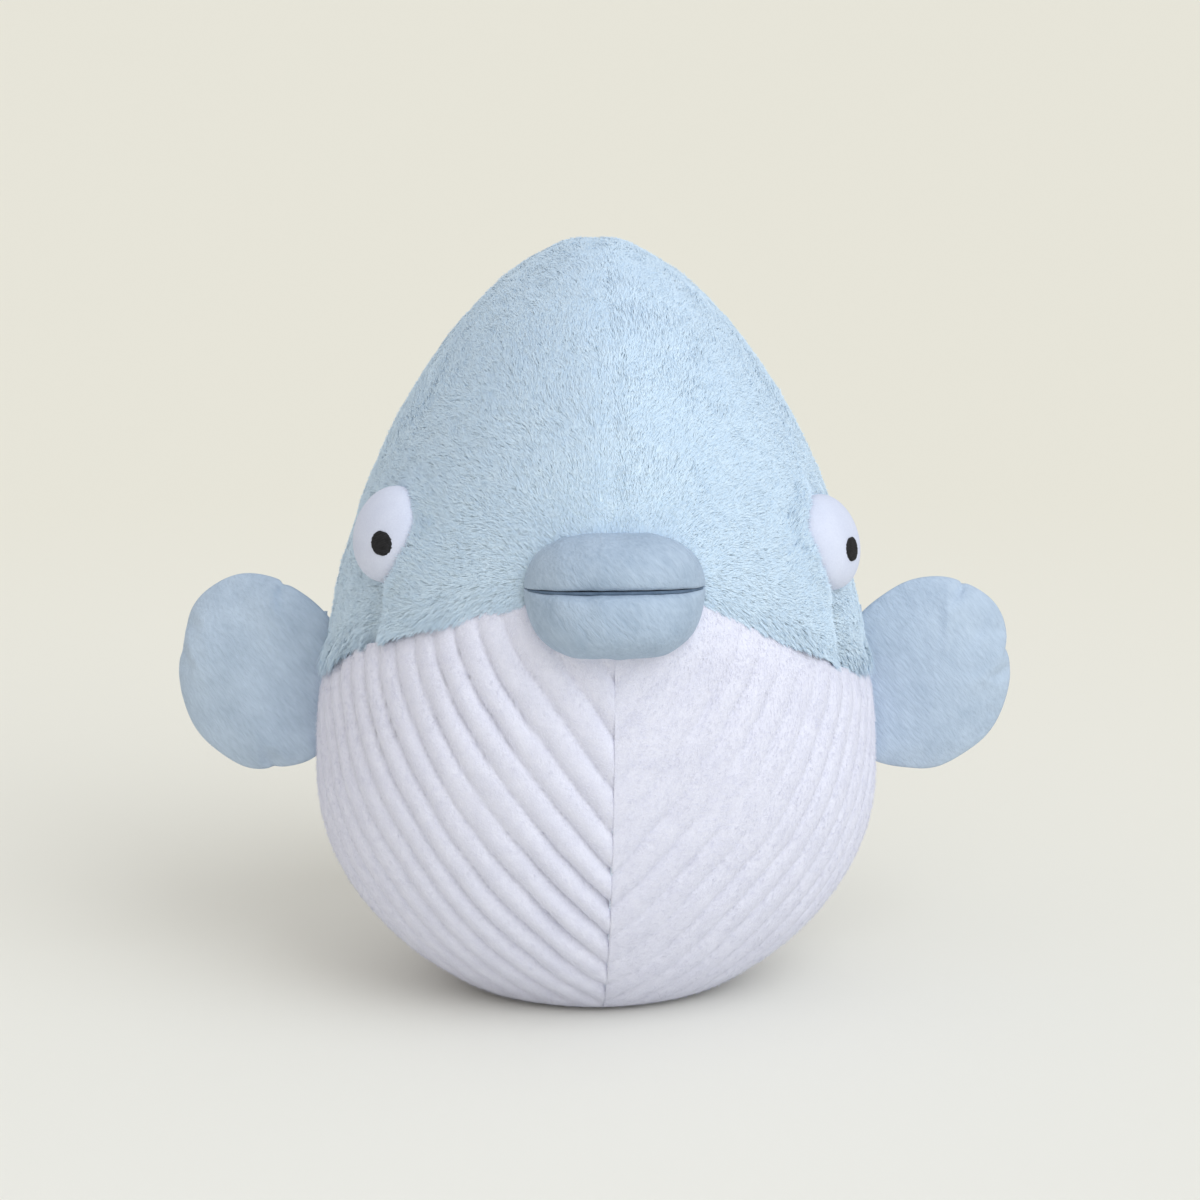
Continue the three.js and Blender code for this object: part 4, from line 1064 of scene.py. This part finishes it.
def fitted(points, flat):
    """The blown points brought to the flat fin's reach and height and to its thickness."""
    sized = points.copy()
    sized[:, 0] = HINGE_OFFSET + (points[:, 0] - HINGE_OFFSET) * (np.ptp(flat[:, 0]) / np.ptp(points[:, 0]))
    above = points[:, 2] - points[:, 2].min()
    sized[:, 2] = above * np.ptp(flat[:, 2]) / np.ptp(points[:, 2]) + flat[:, 2].min()
    sized[:, 1] = points[:, 1] * FIN_HALF_THICKNESS / np.abs(points[:, 1]).max()
    return sized


print("simulation steps for each fin", CLOTH_FRAMES)

# %% Make the fins and the tail
ROOT_TUCK, TUCK_REACH = np.array([4.5, 0.0, 0.0]), (1.0, 16.0)


def placed(points, place, turn):
    """Points of a fin moved from its own plane to its place, with the root edge tucked under the pile."""
    root, reach, thick, hinge = place
    points = points - ROOT_TUCK * (1 - ease(points[:, :1], *TUCK_REACH))
    return mirrored(root + points[:, :1] * reach + points[:, 1:2] * thick + points[:, 2:] * hinge, turn)


def sewn_fin(name, place, turn, sizes, nodes):
    """One stuffed fin, placed with its root tucked under the pile."""
    flat, faces = flat_fin(*sizes)
    shaped = fitted(blown(name, flat, faces), flat)
    points = placed(shaped, place, turn)
    fin = block_mesh(name, points, flipped(faces, turn < 0), CLOTH["fin_velour"])
    smooth = fin.modifiers.new("round", "SUBSURF")
    smooth.levels = smooth.render_levels = 1
    root, reach = (mirrored(place[0], turn) * MM, mirrored(place[1], turn) * MM)
    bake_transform(fin)
    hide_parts(*nodes)
    print(name, len(fin.data.polygons), "faces, thickness", np.ptp(shaped[:, 1]).round(1))
    return fin


for side, turn in SIDES:
    sizes = (FIN_LENGTH, FIN_SPAN, FIN_DROOP[turn], 0.0)
    nodes = [f"fin_front_panel_{side}", f"fin_rear_panel_{side}", f"fin_stuffing_{side}"]
    sewn_fin(f"fin_velour_{side}", FIN[turn], turn, sizes, nodes)
sewn_fin("tail_velour", TAIL, 1.0, (TAIL_LENGTH, TAIL_SPAN, 0.0, TAIL_FLARE),
         ["tail_left_panel", "tail_right_panel", "tail_stuffing"])

# %% [markdown]
# ## Seam threads
# The threads of the seams lie deep between the panels, where the pile closes over them. They follow
# the dressed cloth just below its surface, so they are drawn anew.

# %% Seam threads
THREAD_RADIUS, THREAD_UNEVEN, THREAD_PACE, THREAD_SIDES = 0.45, 0.05, 1.7, 8
THREAD_BASE, SIDE_THREAD_DEPTH = 0.6, 4.6
THREAD_DEPTH = (("back", 90.0, PILE_INSET + CROWN_ROUNDING + 0.8), ("belly", -90.0, 2.2))


def laid_thread(name, line):
    """A slightly uneven thread along a line of points, in the place of a solid thread."""
    radius = THREAD_RADIUS + THREAD_UNEVEN * np.sin(np.arange(len(line)) * THREAD_PACE)
    thread = tube(f"{name}_laid", line, radius, THREAD_SIDES, CLOTH["seam_thread"])
    dress(thread, "body", "seam_thread", name)


station = np.linspace(24.0, 174.0, 160)
for name, ring, depth in THREAD_DEPTH:
    line, _, _, outward = body_frame(station, ring)
    line = (line - outward * depth) * np.array([0.0, 1.0, 1.0])
    line[:, 2] = np.maximum(line[:, 2], THREAD_BASE)
    laid_thread(f"{name}_seam_thread", line)
station = np.linspace(MOUTH_STATION + 6, 176.0, 200)
for side, turn in SIDES:
    line, _, _, outward = body_frame(station, side_seam(station, turn))
    laid_thread(f"side_seam_thread_{side}", mirrored(line - outward * SIDE_THREAD_DEPTH, turn))

# %% [markdown]
# ## Inner pieces and threads
# The stuffing, the weight bag and the other threads keep their solids, because their shapes are
# right and they lie inside. Each gets the finish of its real material.

# %% Inner pieces and threads
INNER_FINISH = {"stuffing": "fibre_fill", "pouch": "pellet_bag", "thread": "root_thread"}
for name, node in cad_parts.items():
    word = next((word for word in INNER_FINISH if word in name), None)
    if word and not node.hide_render:
        node.data.materials.clear()
        node.data.materials.append(CLOTH[INNER_FINISH[word]])
        print(name, "has", INNER_FINISH[word])

# %% [markdown]
# ## Studio
# The fish sits on pale paper near a window on our right. The window is a soft sun, a little cool,
# and the room gives the rest: warm from our left, where light comes back from the paper and the wall.
# The camera sees the sky only as the pale backdrop, so that its colour doesn't change the picture.

# %% Studio floor
FLOOR_REACH, FLOOR_MIDDLE, FLOOR_FADE = 14, (0.0, -0.3, 0.0), (0.1, 1.3)
# The far colour is painted shade: the paper darkens and warms with distance from the fish
FLOOR_NEAR, FLOOR_FAR_PAINTED_SHADE = (0.84, 0.83, 0.775), (0.81, 0.785, 0.69)
floor_mesh = bpy.data.meshes.new("floor")
corners = [(x * FLOOR_REACH, y * FLOOR_REACH, 0) for x, y in ((-1, -1), (1, -1), (1, 1), (-1, 1))]
floor_mesh.from_pydata(corners, [], [(0, 1, 2, 3)])
floor = bpy.data.objects.new("floor", floor_mesh)
bpy.context.scene.collection.objects.link(floor)
floor_paper, tree, shader = new_material("floor_paper")
spot = add_node(tree, "ShaderNodeTexCoord")
away = add_node(tree, "ShaderNodeVectorMath", operation="DISTANCE")
away.inputs[1].default_value = FLOOR_MIDDLE
tree.links.new(spot.outputs["Object"], away.inputs[0])
# Painted shade: the paper darkens and warms away from the fish, in place of light falling off with distance
far = spread_range(tree, away.outputs["Value"], *FLOOR_FADE)
tree.links.new(mix_colours(tree, far, FLOOR_NEAR, FLOOR_FAR_PAINTED_SHADE), shader.inputs["Base Color"])
set_values(shader, {"Roughness": 0.9, "Specular IOR Level": 0.1})
floor_mesh.materials.append(floor_paper)
print("floor", tuple(floor.dimensions))

# %% Studio light
ROOM_STRENGTH, ROOM_TOP, ROOM_RISE = 0.595, (1.3, 1.3, 1.3), (0.2, 1.0)
ROOM_LEFT, ROOM_RIGHT, ROOM_TURN = (1.03, 0.99, 0.93), (0.98, 0.98, 0.98), (-0.8, 0.6)
BACKDROP = (0.77, 0.75, 0.67, 1.0)
# Each lamp: strength, spread in degrees, colour, and the way its light goes
LAMPS = {
    "window_light": (1.12, 50, (0.86, 0.93, 1.0), (-0.46, 0.60, -0.66)),
    "room_light": (0.85, 70, (1.0, 0.99, 0.97), (-0.28, 0.91, -0.28)),
}
world = bpy.data.worlds.new("studio")
bpy.context.scene.world = world
world.use_nodes = True
tree = world.node_tree
background = tree.nodes["Background"]
background.inputs["Strength"].default_value = ROOM_STRENGTH
way = add_node(tree, "ShaderNodeTexCoord")
axes = add_node(tree, "ShaderNodeSeparateXYZ")
tree.links.new(way.outputs["Generated"], axes.inputs[0])
toward_window = spread_range(tree, axes.outputs["X"], *ROOM_TURN)
around_room = mix_colours(tree, toward_window, ROOM_LEFT, ROOM_RIGHT)
overhead = spread_range(tree, axes.outputs["Z"], *ROOM_RISE)
tree.links.new(mix_colours(tree, overhead, around_room, ROOM_TOP), background.inputs["Color"])
shown = add_node(tree, "ShaderNodeBackground", {"Color": BACKDROP, "Strength": 1.0})
path = tree.nodes.new("ShaderNodeLightPath")
seen = path.outputs["Is Camera Ray"]
for kind in ("Is Glossy Ray", "Is Transmission Ray"):
    seen = combine(tree, "MAXIMUM", seen, path.outputs[kind])
sky = tree.nodes.new("ShaderNodeMixShader")
for source, target in ((seen, 0), (background.outputs[0], 1), (shown.outputs[0], 2)):
    tree.links.new(source, sky.inputs[target])
tree.links.new(sky.outputs[0], tree.nodes["World Output"].inputs["Surface"])
for name, (energy, spread, colour, way) in LAMPS.items():
    lamp = bpy.data.lights.new(name, "SUN")
    lamp.energy, lamp.angle, lamp.color = energy, math.radians(spread), colour
    hung = bpy.data.objects.new(name, lamp)
    bpy.context.scene.collection.objects.link(hung)
    hung.rotation_euler = Vector(way).to_track_quat("-Z", "Y").to_euler()
print("lamps", list(LAMPS))
